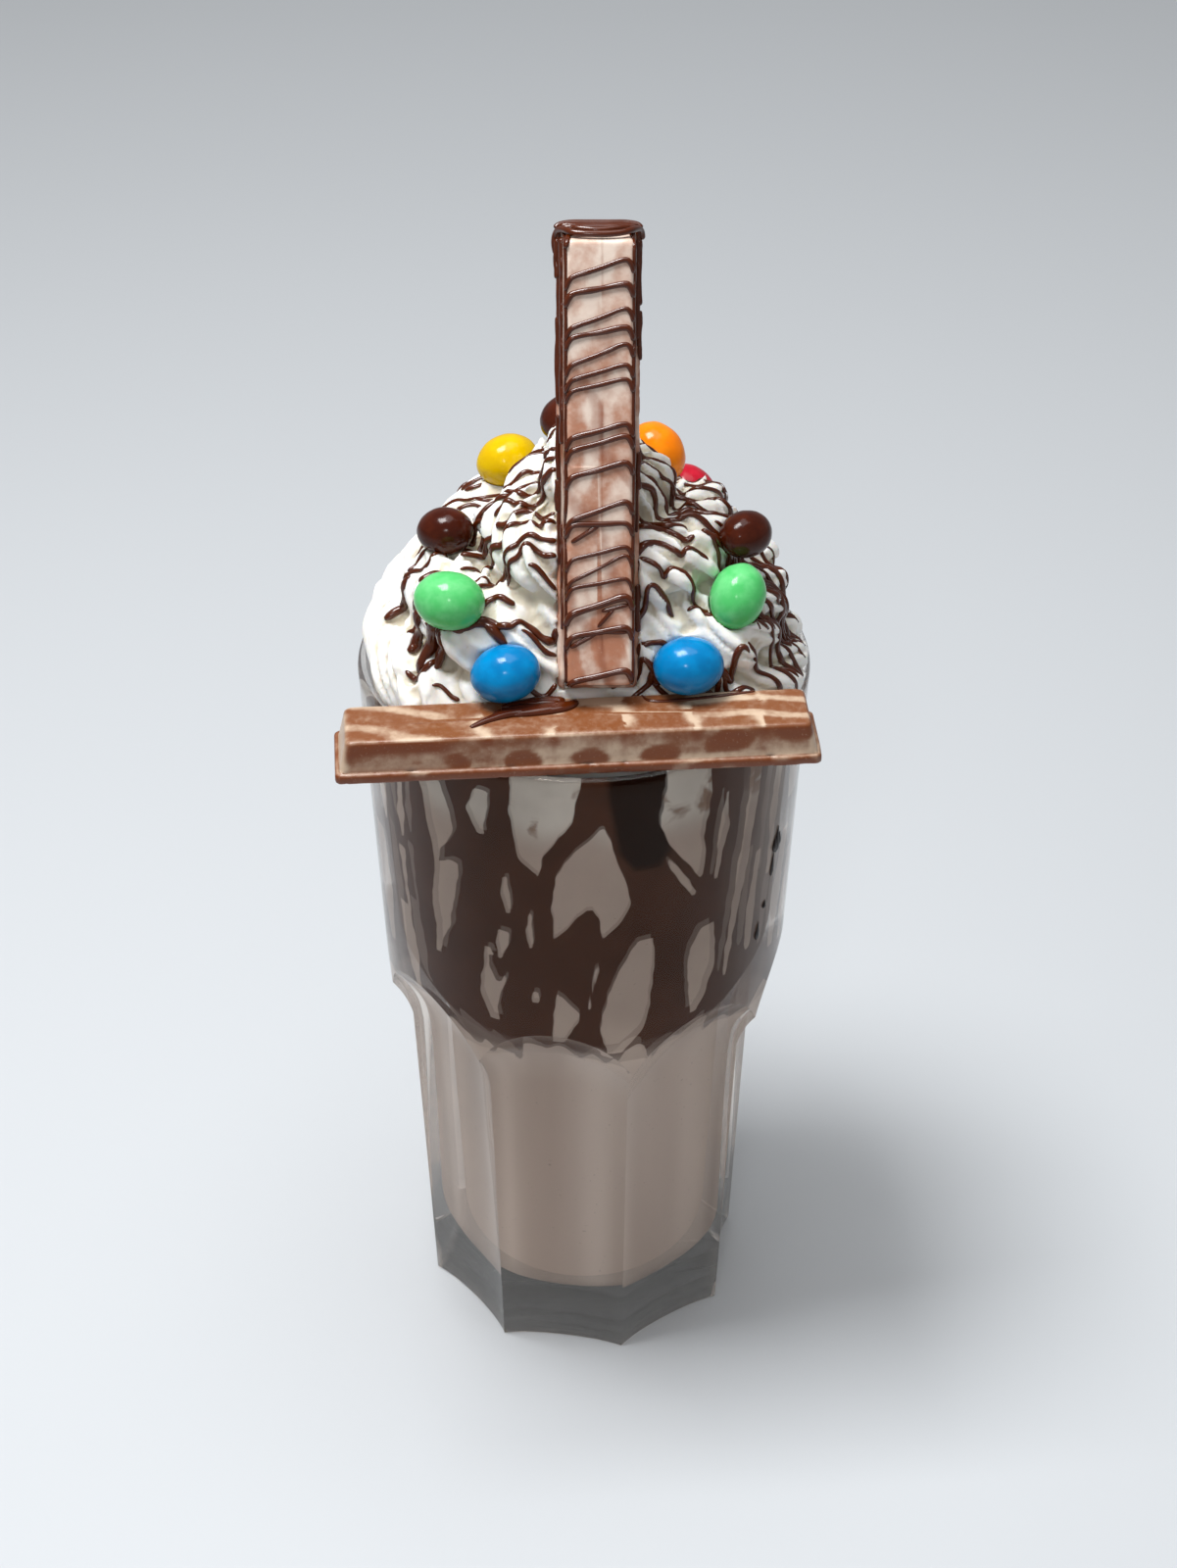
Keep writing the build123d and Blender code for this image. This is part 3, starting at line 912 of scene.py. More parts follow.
def filling_rings(edge, half_width):
    """Ever smaller rings inside a ring, which fill a flat face of a finger."""
    rings = []
    for step in range(1, 12):
        shrink = 1 - step / 12
        ring = edge.copy()
        pull = half_width * (1 - shrink)
        ring[:, 0] -= np.sign(edge[:, 0]) * np.minimum(np.abs(edge[:, 0]), pull)
        ring[:, 1] *= shrink
        rings.append(ring)
    return rings


def wear(points, length, seed):
    """Dents the body of a finger a little and chips its flange's rim; moves the points it is given."""
    for point in points:
        x, y, z = point
        bend = 0.10 * lumps((x, y, z), 9, seed) + 0.05 * lumps((x, y, z), 2.2, seed + 3)
        past_width = abs(y) > wafer_width / 2 - flange_ledge
        past_length = abs(x) > length / 2 - flange_ledge
        if z > flange_height + 0.3:
            point[1] = y * (1 - 0.10 / wafer_width) + bend * math.copysign(1, y) * (abs(y) > 4.5)
            point[2] = z - 0.12 + 0.9 * bend * (z > wafer_height - 0.8)
        elif past_width or past_length:
            chip = max(lumps((x, y * 0.3, z * 0.6), 3.1, seed + 7), 0) ** 2
            chip += 0.6 * max(lumps((x, y * 0.3, z), 1.1, seed + 9), 0) ** 2
            shrink = min(0.10 + 0.75 * chip, flange_ledge * 0.8)
            if past_width:
                point[1] = y - math.copysign(shrink, y)
            if past_length:
                point[0] = x - math.copysign(shrink, x)
            point[2] = z - 0.25 * chip * (z > 1)


def wafer_piece(name, node, seat, length, material, seed, pattern, **rim_shares):
    """Moulded wafer finger: thin flange, sloped body, soft edges and a chipped, uneven flange rim."""
    rings = []
    for height, outset, share in wafer_profile():
        half_length = length / 2 + outset - end_slope * share
        half_width = wafer_width / 2 + outset - side_slope * share
        ring = slab_ring(
            half_length, half_width, flange_corner, long_count=190, short_count=30, corner_count=5
        )
        rings.append(np.column_stack([ring, np.full(len(ring), height)]))
    top_half = wafer_width / 2 - flange_ledge - side_slope - wafer_edge
    bottom = filling_rings(rings[0], wafer_width / 2)
    rings = bottom[::-1] + rings + filling_rings(rings[-1], top_half)
    points = np.concatenate(rings)
    wear(points, length, seed)
    piece = mesh_piece(name, seat.outward(points), capped_faces(len(rings), len(rings[0])), material)
    white, cocoa = marbling(points, seed, pattern, **rim_shares)
    # The white and cocoa shares also carry painted shade and painted highlights.
    add_attribute(piece.data, "white", white)
    add_attribute(piece.data, "cocoa", cocoa)
    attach(piece, "root")
    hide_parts(node)
    return piece


# ---------------------------------------------------------------- candies
def candy_seat(node):
    """Middle, own axes and half sizes of a candy, read from its solid."""
    points = read_points(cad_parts[node].data)
    middle = (points.min(axis=0) + points.max(axis=0)) / 2
    spread = points - middle
    axes = np.linalg.eigh(spread.T @ spread)[1].T[::-1]
    half = np.array([np.abs(spread @ axis).max() for axis in axes])
    half[1] = half[2] = (half[1] + half[2]) / 2
    return middle, axes, half


def candy_piece(node, material, seed):
    """Sugar-shelled candy: an egg shape with slight dents."""
    middle, axes, half = candy_seat(node)
    rows, columns = 49, 72
    points = []
    for row in range(1, rows - 1):
        polar = math.pi * row / (rows - 1)
        for column in range(columns):
            turn = math.tau * column / columns
            level = math.sin(polar)
            unit = np.array([math.cos(polar), level * math.cos(turn), level * math.sin(turn)])
            dent = 0.016 * lumps(unit * 2.0, 1.0, seed) + 0.006 * lumps(unit * 6, 1.0, seed)
            points.append(unit * (0.985 + dent))
    points = (np.array(points) * half) @ axes + middle
    piece = mesh_piece(node + "_shell", points, capped_faces(rows - 2, columns), material)
    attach(piece, "root")
    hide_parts(node)


CANDY_COLOURS = {
    "green": ("50bd68", "6acb7e"),
    "brown": ("3a1206", "481a0a"),
    "yellow": ("d0a800", "d8b402"),
    "orange": ("ee7c02", "f28a0c"),
    "red": ("ab1027", "bb2034"),
    "blue": ("0074b0", "0084c2"),
}

# ---------------------------------------------------------------- piped cream
def rope(turn):
    """Path radius, height above the rim, half width and half height of the rope at a turn."""
    half_width = rope_half_width - rope_thinning * turn
    half_height = rope_half_height - rope_flattening * turn
    top_middle = mound_height - (rope_half_height - rope_flattening * rope_turns)
    first_path = rim_radius - rope_half_width + rope_overhang
    path = first_path * (0.5 + 0.5 * math.cos(math.pi * max(turn, 0) / rope_turns))
    climbed = 1 - (1 - turn / rope_turns) ** rope_rise
    return path, (top_middle + 1) * climbed - 1, half_width, half_height


def rope_rings():
    """Rings of the star-shaped rope, wound upwards and inwards."""
    around, steps_a_turn = 90, 110
    steps = int((rope_turns + 1) * steps_a_turn)
    rings, reliefs = [], []
    for step in range(steps + 1):
        turn = -1 + (rope_turns + 1) * step / steps
        path, middle, half_width, half_height = rope(turn)
        path -= upper_slimming * float(smooth_step(turn, 1.7, 2.5)) * min(path / 8, 1)
        azimuth = -360 * turn
        outward = direction(azimuth)
        shift = peak_shift * max(middle / mound_height, 0) ** 1.5
        wave = 0.5 * math.sin(turn * 23.0) + 0.4 * math.sin(turn * 41.0 + 1)
        ring, relief = [], []
        for place in range(around):
            angle = math.tau * place / around
            star = angle - math.tau * groove_twist * turn
            groove = cream_groove * (1 - abs(math.cos(rope_points / 2 * star))) ** 1.35
            reach = half_width * (1 - groove) + 0.25 * wave
            rise = half_height * (1 - groove)
            point = outward * (path + reach * math.cos(angle))
            ring.append(point + (shift, 0, glass_height + middle + rise * math.sin(angle)))
            relief.append(half_width * ((1 - groove) * math.cos(angle) - 1))
        rings.append(np.array(ring))
        reliefs.append(np.array(relief))
    return rings, reliefs


def press_back(points, relief=None):
    """Flattens the front of the mound where the standing finger leans on it, keeping its folds."""
    distance = points @ front
    limit = foot_reach + press_depth - (points[:, 2] - lying_top) * math.tan(lean)
    limit = np.maximum(limit, 1) + front_lift
    if relief is not None:
        limit = limit + 0.62 * relief
    over = distance - limit
    moved = np.where(over > -1.0, np.maximum(over + 1.0, 0) - np.minimum(over + 1.0, 1.0) * 0.5, 0)
    return points - np.outer(moved, front)


def peak_rings():
    """Rings of the peak, a pulled-up tip that leans over."""
    rows, columns = 30, 48
    rings = []
    for step in range(rows):
        share = step / (rows - 1)
        height = mound_height - 16 + 17.2 * share
        reach = 7.2 * (1 - share) ** 0.8 + 0.35
        bend = 2.2 * share**2.5
        middle = np.array([peak_shift + bend, bend * 0.6, glass_height + height])
        ring = []
        for place in range(columns):
            angle = math.tau * place / columns
            star = angle + 2.6 * share
            lobe = 1 - 0.2 * (1 - abs(math.cos(rope_points / 2 * star)))
            ring.append(middle + direction(math.degrees(angle)) * reach * lobe)
        rings.append(np.array(ring))
    return rings


def core_rings():
    """Rings of the plug inside the glass and of the mound's solid core, from below upwards."""
    outwards = all_round(96)
    return [level_ring(outwards, reach, height) for reach, height in (
        (bore_radius(drink_level) - 0.5, drink_level + 0.15),
        (bore_radius(152) - 0.5, 152),
        (bore_radius(157) - 1.2, 158.0),
        (33.0, 160.5),
        (core_slope * (mound_height - 12), glass_height + 12),
        (core_slope * (mound_height - 30), glass_height + 30),
        (core_slope * 6, glass_height + mound_height - 6),
    )]


def cream_bodies():
    """Points and faces of the rope, the peak and the core, pressed back where the finger leans."""
    rope_parts, reliefs = rope_rings()
    peak, core = peak_rings(), core_rings()
    pressed_rope = [press_back(ring, relief) for ring, relief in zip(rope_parts, reliefs)]
    points, faces, start = [], [], 0
    for rows, body in (
        (len(rope_parts), np.concatenate(pressed_rope)),
        (len(peak), press_back(np.concatenate(peak))),
        (len(core), press_back(np.concatenate(core), -3.0)),
    ):
        points.append(body)
        faces += [[start + index for index in face] for face in capped_faces(rows, len(body) // rows)]
        start += len(body)
    return np.concatenate(points), faces


def melt_together(piece):
    """Makes a piece's overlapping bodies one skin and softens it a little."""
    remesh = piece.modifiers.new("one_body", "REMESH")
    remesh.mode = "VOXEL"
    remesh.voxel_size = cream_voxel * MM
    soften = piece.modifiers.new("soften", "SMOOTH")
    soften.factor = 0.5
    soften.iterations = 1
    with_modifiers(piece)


def cream_relief(points):
    """How far the skin of the cream stands out: lumps, creases and folds down the left shoulder."""
    above = smooth_step(points[:, 2], glass_height - 1, glass_height + 5)
    swell = np.array([
        0.55 * lumps(point, 11, 1) + 0.35 * lumps(point, 4.5, 2) + 0.12 * lumps(point, 1.7, 3) - 0.25
        for point in points
    ])
    crease = np.array([abs(lumps(turned_in(point), 6.5, 4)) for point in points])
    swell -= 0.95 * (1 - smooth_step(crease, 0.0, 0.16))
    # long folds that slant down over the left shoulder
    off = (azimuths(points) + 340) % 360 - 180
    rise = points[:, 2] - glass_height
    fold = np.abs(np.sin(math.pi * (off + 1.4 * rise) / 11 + 0.6 * crease))
    shoulder = bell(off, 30) * (1 - smooth_step(rise, 26, 36))
    swell -= 1.9 * shoulder * (1 - smooth_step(fold, 0.0, 0.5))
    return swell * above


def cream_piece(candy_nodes):
    """Wound cream as one soft body, with sockets for what is pressed into it."""
    piece = mesh_piece("whipped_cream_mound", *cream_bodies(), cream_material())
    melt_together(piece)
    mesh = piece.data
    points = read_points(mesh)
    normals = read_vectors(mesh, "normal")
    points = points + normals * cream_relief(points)[:, None]
    points = shaped_round_candies(points, candy_nodes)
    points = clear_of_glass(points)
    points = clear_of_wafers(points)
    for node in candy_nodes:
        points = clear_of_candy(points, *candy_seat(node))
    points[:, :2] *= np.minimum(cream_reach / lengths(points[:, :2]), 1)[:, None]
    write_points(mesh, points)
    # The hollow attribute is the share of painted shade in the cream's colour.
    add_attribute(mesh, "hollow", painted_crease_shade(mesh, points, normals))
    mesh.polygons.foreach_set("use_smooth", [True] * len(mesh.polygons))
    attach(piece, "root")
    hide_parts("whipped_cream")
    return piece


def shaped_round_candies(points, candy_nodes):
    """Draws the left shoulder of the mound in, and lowers the folds in front of the upper candies."""
    height = points[:, 2] - glass_height
    off = (azimuths(points) - 172 + 180) % 360 - 180
    slim = 4.6 * bell(off, 36) * smooth_step(height, 20, 29) * (1 - smooth_step(height, 42, 50))
    for node in candy_nodes:
        slim *= smooth_step(np.linalg.norm(points - candy_seat(node)[0], axis=1), 5.0, 9.5)
    level = points[:, :2] - (peak_shift, 0)
    reach = lengths(level)
    points = points.copy()
    points[:, :2] -= level * (np.minimum(slim, reach * 0.5) / reach)[:, None]
    sight_angle = math.radians(35)
    sight = np.array([0, -math.cos(sight_angle), math.sin(sight_angle)])
    climb = np.array([0, sight[2], -sight[1]])
    shown = (("candy_yellow", -3.0, 6.4), ("candy_red", 0.6, 4.6), ("candy_orange", -1.5, 5.0))
    for node, low, wide in shown:
        own = points - candy_seat(node)[0]
        above = own @ climb - (low + 6.0 * (own[:, 0] / wide) ** 2)
        near = (own @ sight > 0) & (above > 0) & (above < 9) & (np.abs(own[:, 0]) < wide)
        points[near] -= climb * above[near][:, None]
    return points


def turned_in(point):
    """A point on the mound laid out so that folds drawn in it run down and round it."""
    height = point[2] - glass_height
    azimuth = math.atan2(point[1], point[0]) + 0.03 * height
    reach = math.hypot(point[0], point[1])
    return 0.9 * reach, 26 * math.cos(azimuth), 26 * math.sin(azimuth) + 0.25 * height


def painted_crease_shade(mesh, points, normals):
    """How deep a vertex lies in a hollow, from its neighbours; this sets the cream's painted shade."""
    flat = np.empty(len(mesh.edges) * 2, dtype=np.int64)
    mesh.edges.foreach_get("vertices", flat)
    ends = flat.reshape(-1, 2).T
    value = np.zeros(len(points))
    count = np.zeros(len(points))
    difference = points[ends[1]] - points[ends[0]]
    for end, sign in zip(ends, (1, -1)):
        np.add.at(value, end, sign * np.einsum("ij,ij->i", difference, normals[end]))
        np.add.at(count, end, 1)
    value /= np.maximum(count, 1)
    for _ in range(6):
        total = np.zeros(len(points))
        for end, other in zip(ends, ends[::-1]):
            np.add.at(total, end, value[other])
        value = 0.5 * value + 0.5 * total / np.maximum(count, 1)
    return np.clip(value * 14, 0, 1)


def clear_of_glass(points):
    """Keeps the cream inside the wall and off the lip."""
    level = points[:, :2]
    reach = lengths(level)
    outwards = level / reach[:, None]
    height = points[:, 2]
    reach = np.where(height < lip_height, np.minimum(reach, bore_radius(height) - 0.2), reach)
    out = np.stack([reach - lip_middle, height - lip_height], axis=1)
    far = lengths(out)
    clear = lip_radius + seat_gap
    near = (far < clear) & (height >= lip_height)
    lip_out = out / far[:, None] * clear
    new_reach = np.where(near, lip_middle + lip_out[:, 0], reach)
    new_height = np.where(near, lip_height + lip_out[:, 1], height)
    rim_top = glass_height + seat_gap
    beyond = (new_reach > lip_middle) & (new_height < rim_top) & (height < glass_height + 3)
    new_height = np.where(beyond, rim_top, new_height)
    return np.column_stack([outwards * new_reach[:, None], new_height])


def clear_of_wafers(points):
    """Presses the cream back from both fingers."""
    gap = 0.12
    own = standing_seat.inward(points)
    inside = (
        (np.abs(own[:, 0]) < standing_length / 2 + gap)
        & (np.abs(own[:, 1]) < wafer_width / 2 - 0.2)
        & (own[:, 2] > -gap)
    )
    own[inside, 2] = -gap
    own = lying_seat.inward(standing_seat.outward(own))
    share = np.clip((own[:, 2] - flange_height) / (wafer_height - flange_height), 0, 1)
    sloped_side = wafer_width / 2 - flange_ledge - side_slope * share
    back = np.where(own[:, 2] < flange_height + gap, wafer_width / 2, sloped_side) + gap
    inside = (own[:, 2] > -gap) & (own[:, 2] < wafer_height + 1.5) & (own[:, 1] < back)
    own[inside, 1] = back[inside]
    return lying_seat.outward(own)


def clear_of_candy(points, middle, axes, half):
    """Sinks a socket for one candy."""
    grown = half + 0.12
    own = ((points - middle) @ axes.T) / grown
    far = np.linalg.norm(own, axis=1)
    inside = far < 1
    inward = -middle * (1, 1, 0)
    inward = inward / np.linalg.norm(inward) + (0, 0, -0.45)
    push = (inward @ axes.T) / grown
    push = push / np.linalg.norm(push)
    along = own[inside] @ push
    step = -along + np.sqrt(np.maximum(along**2 - far[inside] ** 2 + 1, 0))
    own[inside] += step[:, None] * push
    moved = points.copy()
    moved[inside] = (own[inside] * grown) @ axes + middle
    return moved


# ---------------------------------------------------------------- sauce drizzled over the top
def smooth_path(path, rounds=3):
    """Evens out the places and normals of a path of (point, normal, radius)."""
    for _ in range(rounds):
        made = [path[0]]
        for before, here, after in zip(path, path[1:], path[2:]):
            place = (before[0] + here[0] * 2 + after[0]) / 4
            normal = (before[1] + here[1] * 2 + after[1]).normalized()
            made.append((place, normal, (before[2] + here[2] * 2 + after[2]) / 4))
        path = made + [path[-1]]
    return path


def tube_mesh(paths, sides=8):
    """Rings and faces of tubes; a path is a list of (point, normal, radius)."""
    points, faces = [], []
    for path in paths:
        start = len(points)
        path = smooth_path(path)
        for number, (point, normal, radius) in enumerate(path):
            ahead = path[min(number + 1, len(path) - 1)][0]
            behind = path[max(number - 1, 0)][0]
            along = (ahead - behind).normalized()
            side = along.cross(normal)
            side = side.normalized() if side.length > 1e-6 else along.orthogonal().normalized()
            up = side.cross(along).normalized()
            for corner in range(sides):
                angle = math.tau * corner / sides
                points.append(
                    point + side * radius * math.cos(angle) + up * radius * 0.8 * math.sin(angle)
                )
        rows = len(path)
        faces += [tuple(start + index for index in face) for face in capped_faces(rows, sides)]
    return [tuple(point) for point in points], faces


def surface_under(piece):
    """Search tree of the outside of a piece, in millimetres."""
    points = [Vector(point) for point in read_points(piece.data)]
    return BVHTree.FromPolygons(points, [list(polygon.vertices) for polygon in piece.data.polygons])


def along_plan(plan, spacing):
    """Places along a line of points, about a spacing apart."""
    for first, second in zip(plan, plan[1:]):
        count = max(int((second - first).length / spacing), 1)
        for step in range(count):
            yield first.lerp(second, step / count)


def poured_hits(tree, plan, pour):
    """Places and normals where sauce falling from a plan lands; None where it misses the cream."""
    hits = []
    for start in along_plan(plan, 0.45):
        place, normal, _, _ = tree.ray_cast(start, pour)
        landed = place is not None and place.z > glass_height - 1
        hits.append((place, normal) if landed else None)
    return hits


def sauce_runs(tree, hits):
    """Unbroken runs of hits, small gaps in them filled along the surface."""
    runs = [[]]
    for hit in hits:
        if hit is None:
            runs.append([])
            continue
        if runs[-1]:
            last = runs[-1][-1][0]
            gap = (hit[0] - last).length
            if gap > 9.0:
                runs.append([])
            elif gap > 1.2:
                added = int(gap / 0.7)
                for step in range(1, added + 1):
                    middle = last.lerp(hit[0], step / (added + 1))
                    near, normal, _, _ = tree.find_nearest(middle)
                    runs[-1].append((near, normal))
        runs[-1].append(hit)
    return [run for run in runs if len(run) > 4]


def sauce_path(run, thickness, seed):
    """Evened-out path along a run of hits, uneven in thickness and thin at both ends."""
    places = [place for place, _ in run]
    for _ in range(2):
        triples = zip(places, places[1:], places[2:])
        inner = [(before + here * 2 + after) / 4 for before, here, after in triples]
        places = [places[0]] + inner + [places[-1]]
    path = []
    for number, (place, (_, normal)) in enumerate(zip(places, run)):
        blob = max(lumps(place, 3.0, seed + 3) - 0.25, 0) * 1.5
        ends = min(number, len(places) - 1 - number)
        radius = thickness * (1 + 0.35 * lumps(place, 2.0, seed) + blob) * min(1.0, 0.35 + 0.3 * ends)
        path.append((place + normal * radius * 0.35, normal, radius))
    return path


def smooth_plan(points, rounds=3):
    """Rounds the corners of a line of points."""
    for _ in range(rounds):
        cut = [points[0]]
        for first, second in zip(points, points[1:]):
            cut += [first.lerp(second, 0.25), first.lerp(second, 0.75)]
        points = cut + [points[-1]]
    return points


# Lines across the standing finger: height at the left and right above its foot, and half thickness.
FINGER_LINES = [
    (85.6, 87.0, 0.62), (78.0, 81.2, 0.52), (75.0, 76.8, 0.6), (68.9, 72.4, 0.46), (67.1, 69.0, 0.55),
    (62.2, 66.0, 0.46), (59.4, 62.2, 0.5), (57.4, 59.6, 0.45), (48.8, 51.4, 0.55), (46.5, 49.2, 0.56),
    (41.6, 44.3, 0.56), (33.6, 37.0, 0.55), (32.6, 33.0, 0.56), (26.2, 28.6, 0.42), (22.2, 27.0, 0.38),
    (20.8, 22.6, 0.42), (16.0, 19.2, 0.72), (11.6, 13.4, 0.6), (3.0, 5.2, 0.62),
]
# Runs down its left and right edges: distance from its middle, lowest and highest point, half thickness.
LEFT_RUNS = [
    (6.1, 1.5, 87.0, 0.42), (7.1, 56.0, 86.5, 0.55), (6.6, 47.0, 87.0, 0.6), (7.2, 24.0, 42.0, 0.4),
    (6.6, 12.0, 34.0, 0.45),
]
RIGHT_RUNS = [(6.1, 1.5, 87.0, 0.42), (7.15, 66.0, 86.5, 0.5), (7.2, 30.0, 41.0, 0.3)]
# Short drips beside them: place across, top, length and half thickness.
EDGE_DRIPS = [
    (-7.5, 84, 7, 0.6), (-7.45, 70, 16, 0.5), (-7.4, 52, 12, 0.5), (-7.5, 40, 6, 0.55),
    (7.4, 84, 12, 0.55), (7.5, 71, 9, 0.5), (7.4, 45, 7, 0.5), (7.3, 20, 9, 0.6),
]
# Thick lines of its cap: half thickness, then points (across, up from the cap's line, over its back).
CAP_LINES = [
    (0.62, [(-7.7, -5.4, 1.5), (-8.1, -3.4, 1.5), (-7.7, -1.2, 1.8), (-6.6, -0.5, 4.6), (-5.2, -0.75, 7.3),
            (0, -0.55, 7.9), (5.2, -0.65, 7.5), (6.8, -0.5, 4.6), (7.8, -1.0, 2.0), (8.0, -2.8, 1.5)]),
    (0.6, [(-6.4, -0.4, 3.4), (-4.0, -0.3, 5.6), (0, -0.2, 6.6), (5.0, -0.3, 5.4), (6.6, -0.4, 3.4)]),
    (0.6, [(-7.2, -0.3, 1.6), (-3.0, -0.2, 3.6), (3.0, -0.2, 3.8), (7.2, -0.3, 1.8)]),
    (0.62, [(-7.8, -0.8, 1.5), (-7.2, -0.1, 1.1), (-5.0, 0.15, 0.95), (0, 0.1, 0.95), (5.0, 0.15, 0.95),
            (7.2, -0.1, 1.1), (7.8, -0.9, 1.5)]),
    (0.6, [(-6.8, -0.2, 2.4), (0, -0.1, 2.5), (6.8, -0.2, 2.4)]),
    (0.6, [(-6.6, -0.3, 4.6), (0, -0.2, 5.0), (6.6, -0.3, 4.6)]),
]
# Short crossings on it: start and end as (across, height), and half thickness.
FINGER_CROSSINGS = [
    ((-5.2, 29.4), (0.0, 32.6), 0.5), ((0.4, 16.4), (5.4, 17.6), 0.4), ((2.6, 16.8), (-0.4, 13.4), 0.38),
    ((-0.4, 12.6), (5.4, 12.4), 0.5), ((-5.4, 9.6), (-0.6, 12.2), 0.5),
]


def on_finger(tree, across, height, rise=30.0):
    """Place and normal on the front of the standing finger."""
    start = Vector(standing_seat.outward((height - standing_length / 2, -across, rise)))
    place, normal, _, _ = tree.ray_cast(start, Vector(-standing_out))
    return place, normal


def finger_path(tree, points, thickness, seed):
    """Path of sauce over the front of the standing finger, through points (across, height)."""
    plan = smooth_plan([Vector((across, height, 0)) for across, height in points])
    hits = [on_finger(tree, spot.x, spot.y) for spot in along_plan(plan, 0.35)]
    hits = [(place, normal) for place, normal in hits if place is not None]
    path = []
    for number, (place, normal) in enumerate(hits):
        ends = min(number, len(hits) - 1 - number)
        radius = thickness * (1 + 0.22 * lumps(place, 2.6, seed)) * min(1.0, 0.45 + 0.2 * ends)
        path.append((place + normal * radius * 0.3, normal, radius))
    return path


def finger_sauce(tree, draw):
    """Sauce on the standing finger: crossing lines, runs down both edges and short drips beside them."""
    strokes = []
    for number, (left, right, thickness) in enumerate(FINGER_LINES):
        middle = (left + right) / 2 - draw.uniform(0.1, 0.5) * 0.3
        points = [(-6.1, left - 2.4), (-5.6, left - 0.5), (-4.6, left + 0.2), (0, middle)]
        points += [(4.3, right), (5.5, right - 0.4), (6.0, right - 2.6)]
        strokes.append((points, thickness, number))
    for number, (start, end, thickness) in enumerate(FINGER_CROSSINGS):
        strokes.append(([start, end], thickness, 40 + number))
    for side, runs in ((-1, LEFT_RUNS), (1, RIGHT_RUNS)):
        for offset, low, high, thickness in runs:
            points = []
            height = low
            while height < high:
                points.append((side * (offset + 0.16 * lumps((height, side * 9, offset), 5)), height))
                height += 2.5
            strokes.append((points, thickness, 60 + side))
    for across, high, length, thickness in EDGE_DRIPS:
        points = [(across + 0.12 * math.sin(step * 1.7), high - length * step / 5) for step in range(6)]
        strokes.append((points, thickness, high))
    paths = [finger_path(tree, *stroke) for stroke in strokes]
    return [path for path in paths if len(path) > 4]


def cap_paths():
    """Thick sauce over the top end of the standing finger, hanging down at its corners."""
    paths = []
    for radius, points in CAP_LINES:
        plan = smooth_plan([
            Vector((standing_length / 2 - cap_line + rise, -across, above))
            for across, rise, above in points
        ])
        path = []
        for number, spot in enumerate(plan):
            taper = min(1, 0.5 + 0.12 * min(number, len(plan) - 1 - number))
            thick = radius * (1 + 0.2 * lumps(spot, 3.0, radius)) * taper
            path.append((Vector(standing_seat.outward(spot)), Vector(standing_out), thick))
        paths.append(path)
    return paths


def under_the_top(paths):
    """Lowers sauce that would come over the CAD model's highest point."""
    highest = cad_bounds[1][2] / MM - 0.15
    down = Vector(-standing_up) / math.cos(lean)
    return [
        [
            (place + down * max(place.z + radius - highest, 0), normal, radius)
            for place, normal, radius in path
        ]
        for path in paths
    ]


def side_strokes(draw):
    """Zigzag lines to and fro over the cream, left and right of the finger."""
    strokes = []
    count = 12
    for side in (-1, 1):
        for number in range(count):
            depth = -29 + 32 * number / (count - 1) + draw.uniform(-0.7, 0.7)
            far = math.sqrt(max(41**2 - depth**2, 100))
            reach = min(far, 33 + draw.uniform(-5, 5)) if side < 0 else far + draw.uniform(-3, 2)
            drift = draw.uniform(-1.5, 3.0)
            phase = draw.uniform(0, 6)
            points = []
            x = 5.2
            while x < reach:
                share = x / reach
                swing = math.sin(x * 0.8 + phase + 0.8 * lumps((x, number, 8), 9))
                zigzag = (0.4 + 0.8 * share) * swing * abs(swing) ** 0.3
                zigzag += 0.8 * lumps((x, number * 7, side), 5)
                points.append((side * x, depth + drift * share + zigzag))
                x += 1.3
            if draw.random() < 0.5 and len(points) > 9:
                cut = draw.randrange(4, len(points) - 4)
                strokes.append((points[:cut], draw.uniform(0.44, 0.66), number))
                points = points[cut + 1:]
            strokes.append((points, draw.uniform(0.42, 0.68), 20 * side + number))
    return strokes


def shoulder_strokes(draw):
    """Short lines out over the right shoulder of the cream."""
    strokes = []
    for number in range(9):
        depth = -22 + 2.9 * number
        start = 24 + 0.45 * abs(depth + 8) + draw.uniform(-2, 2)
        points = [(start, depth), (start + 6, depth + 1.2), (44, depth + draw.uniform(-1, 2))]
        strokes.append((points, draw.uniform(0.4, 0.6), 70 + number))
    return strokes


def back_strokes(draw):
    """Lines from side to side over the back of the cream."""
    strokes = []
    for number in range(11):
        depth = 8 + 3.1 * number
        far = math.sqrt(max(40**2 - depth**2, 60)) * draw.uniform(0.7, 1.0)
        points = []
        x = -far * draw.uniform(0.7, 1.0)
        while x < far:
            wavy = depth + 1.0 * math.sin(0.5 * x + number) + 1.2 * lumps((x, number * 5, 3), 5)
            points.append((x, wavy))
            x += 2.0
        strokes.append((points, draw.uniform(0.36, 0.56), 90 + number))
    return strokes


def dab_strokes():
    """Heavier dabs on the smooth folds at the left."""
    strokes = []
    for start, end, thickness in (
        ((-33.5, -19), (-28.5, -17.5), 1.1), ((-31.0, -23.5), (-26.0, -21.0), 1.25),
        ((-28.0, -25.5), (-21.0, -22.5), 0.8), ((-38.5, -8), (-33.0, -7.0), 0.9),
    ):
        middle = ((start[0] + end[0]) / 2, (start[1] + end[1]) / 2 + 1.2)
        strokes.append(([start, middle, end], thickness, start[0]))
    return strokes


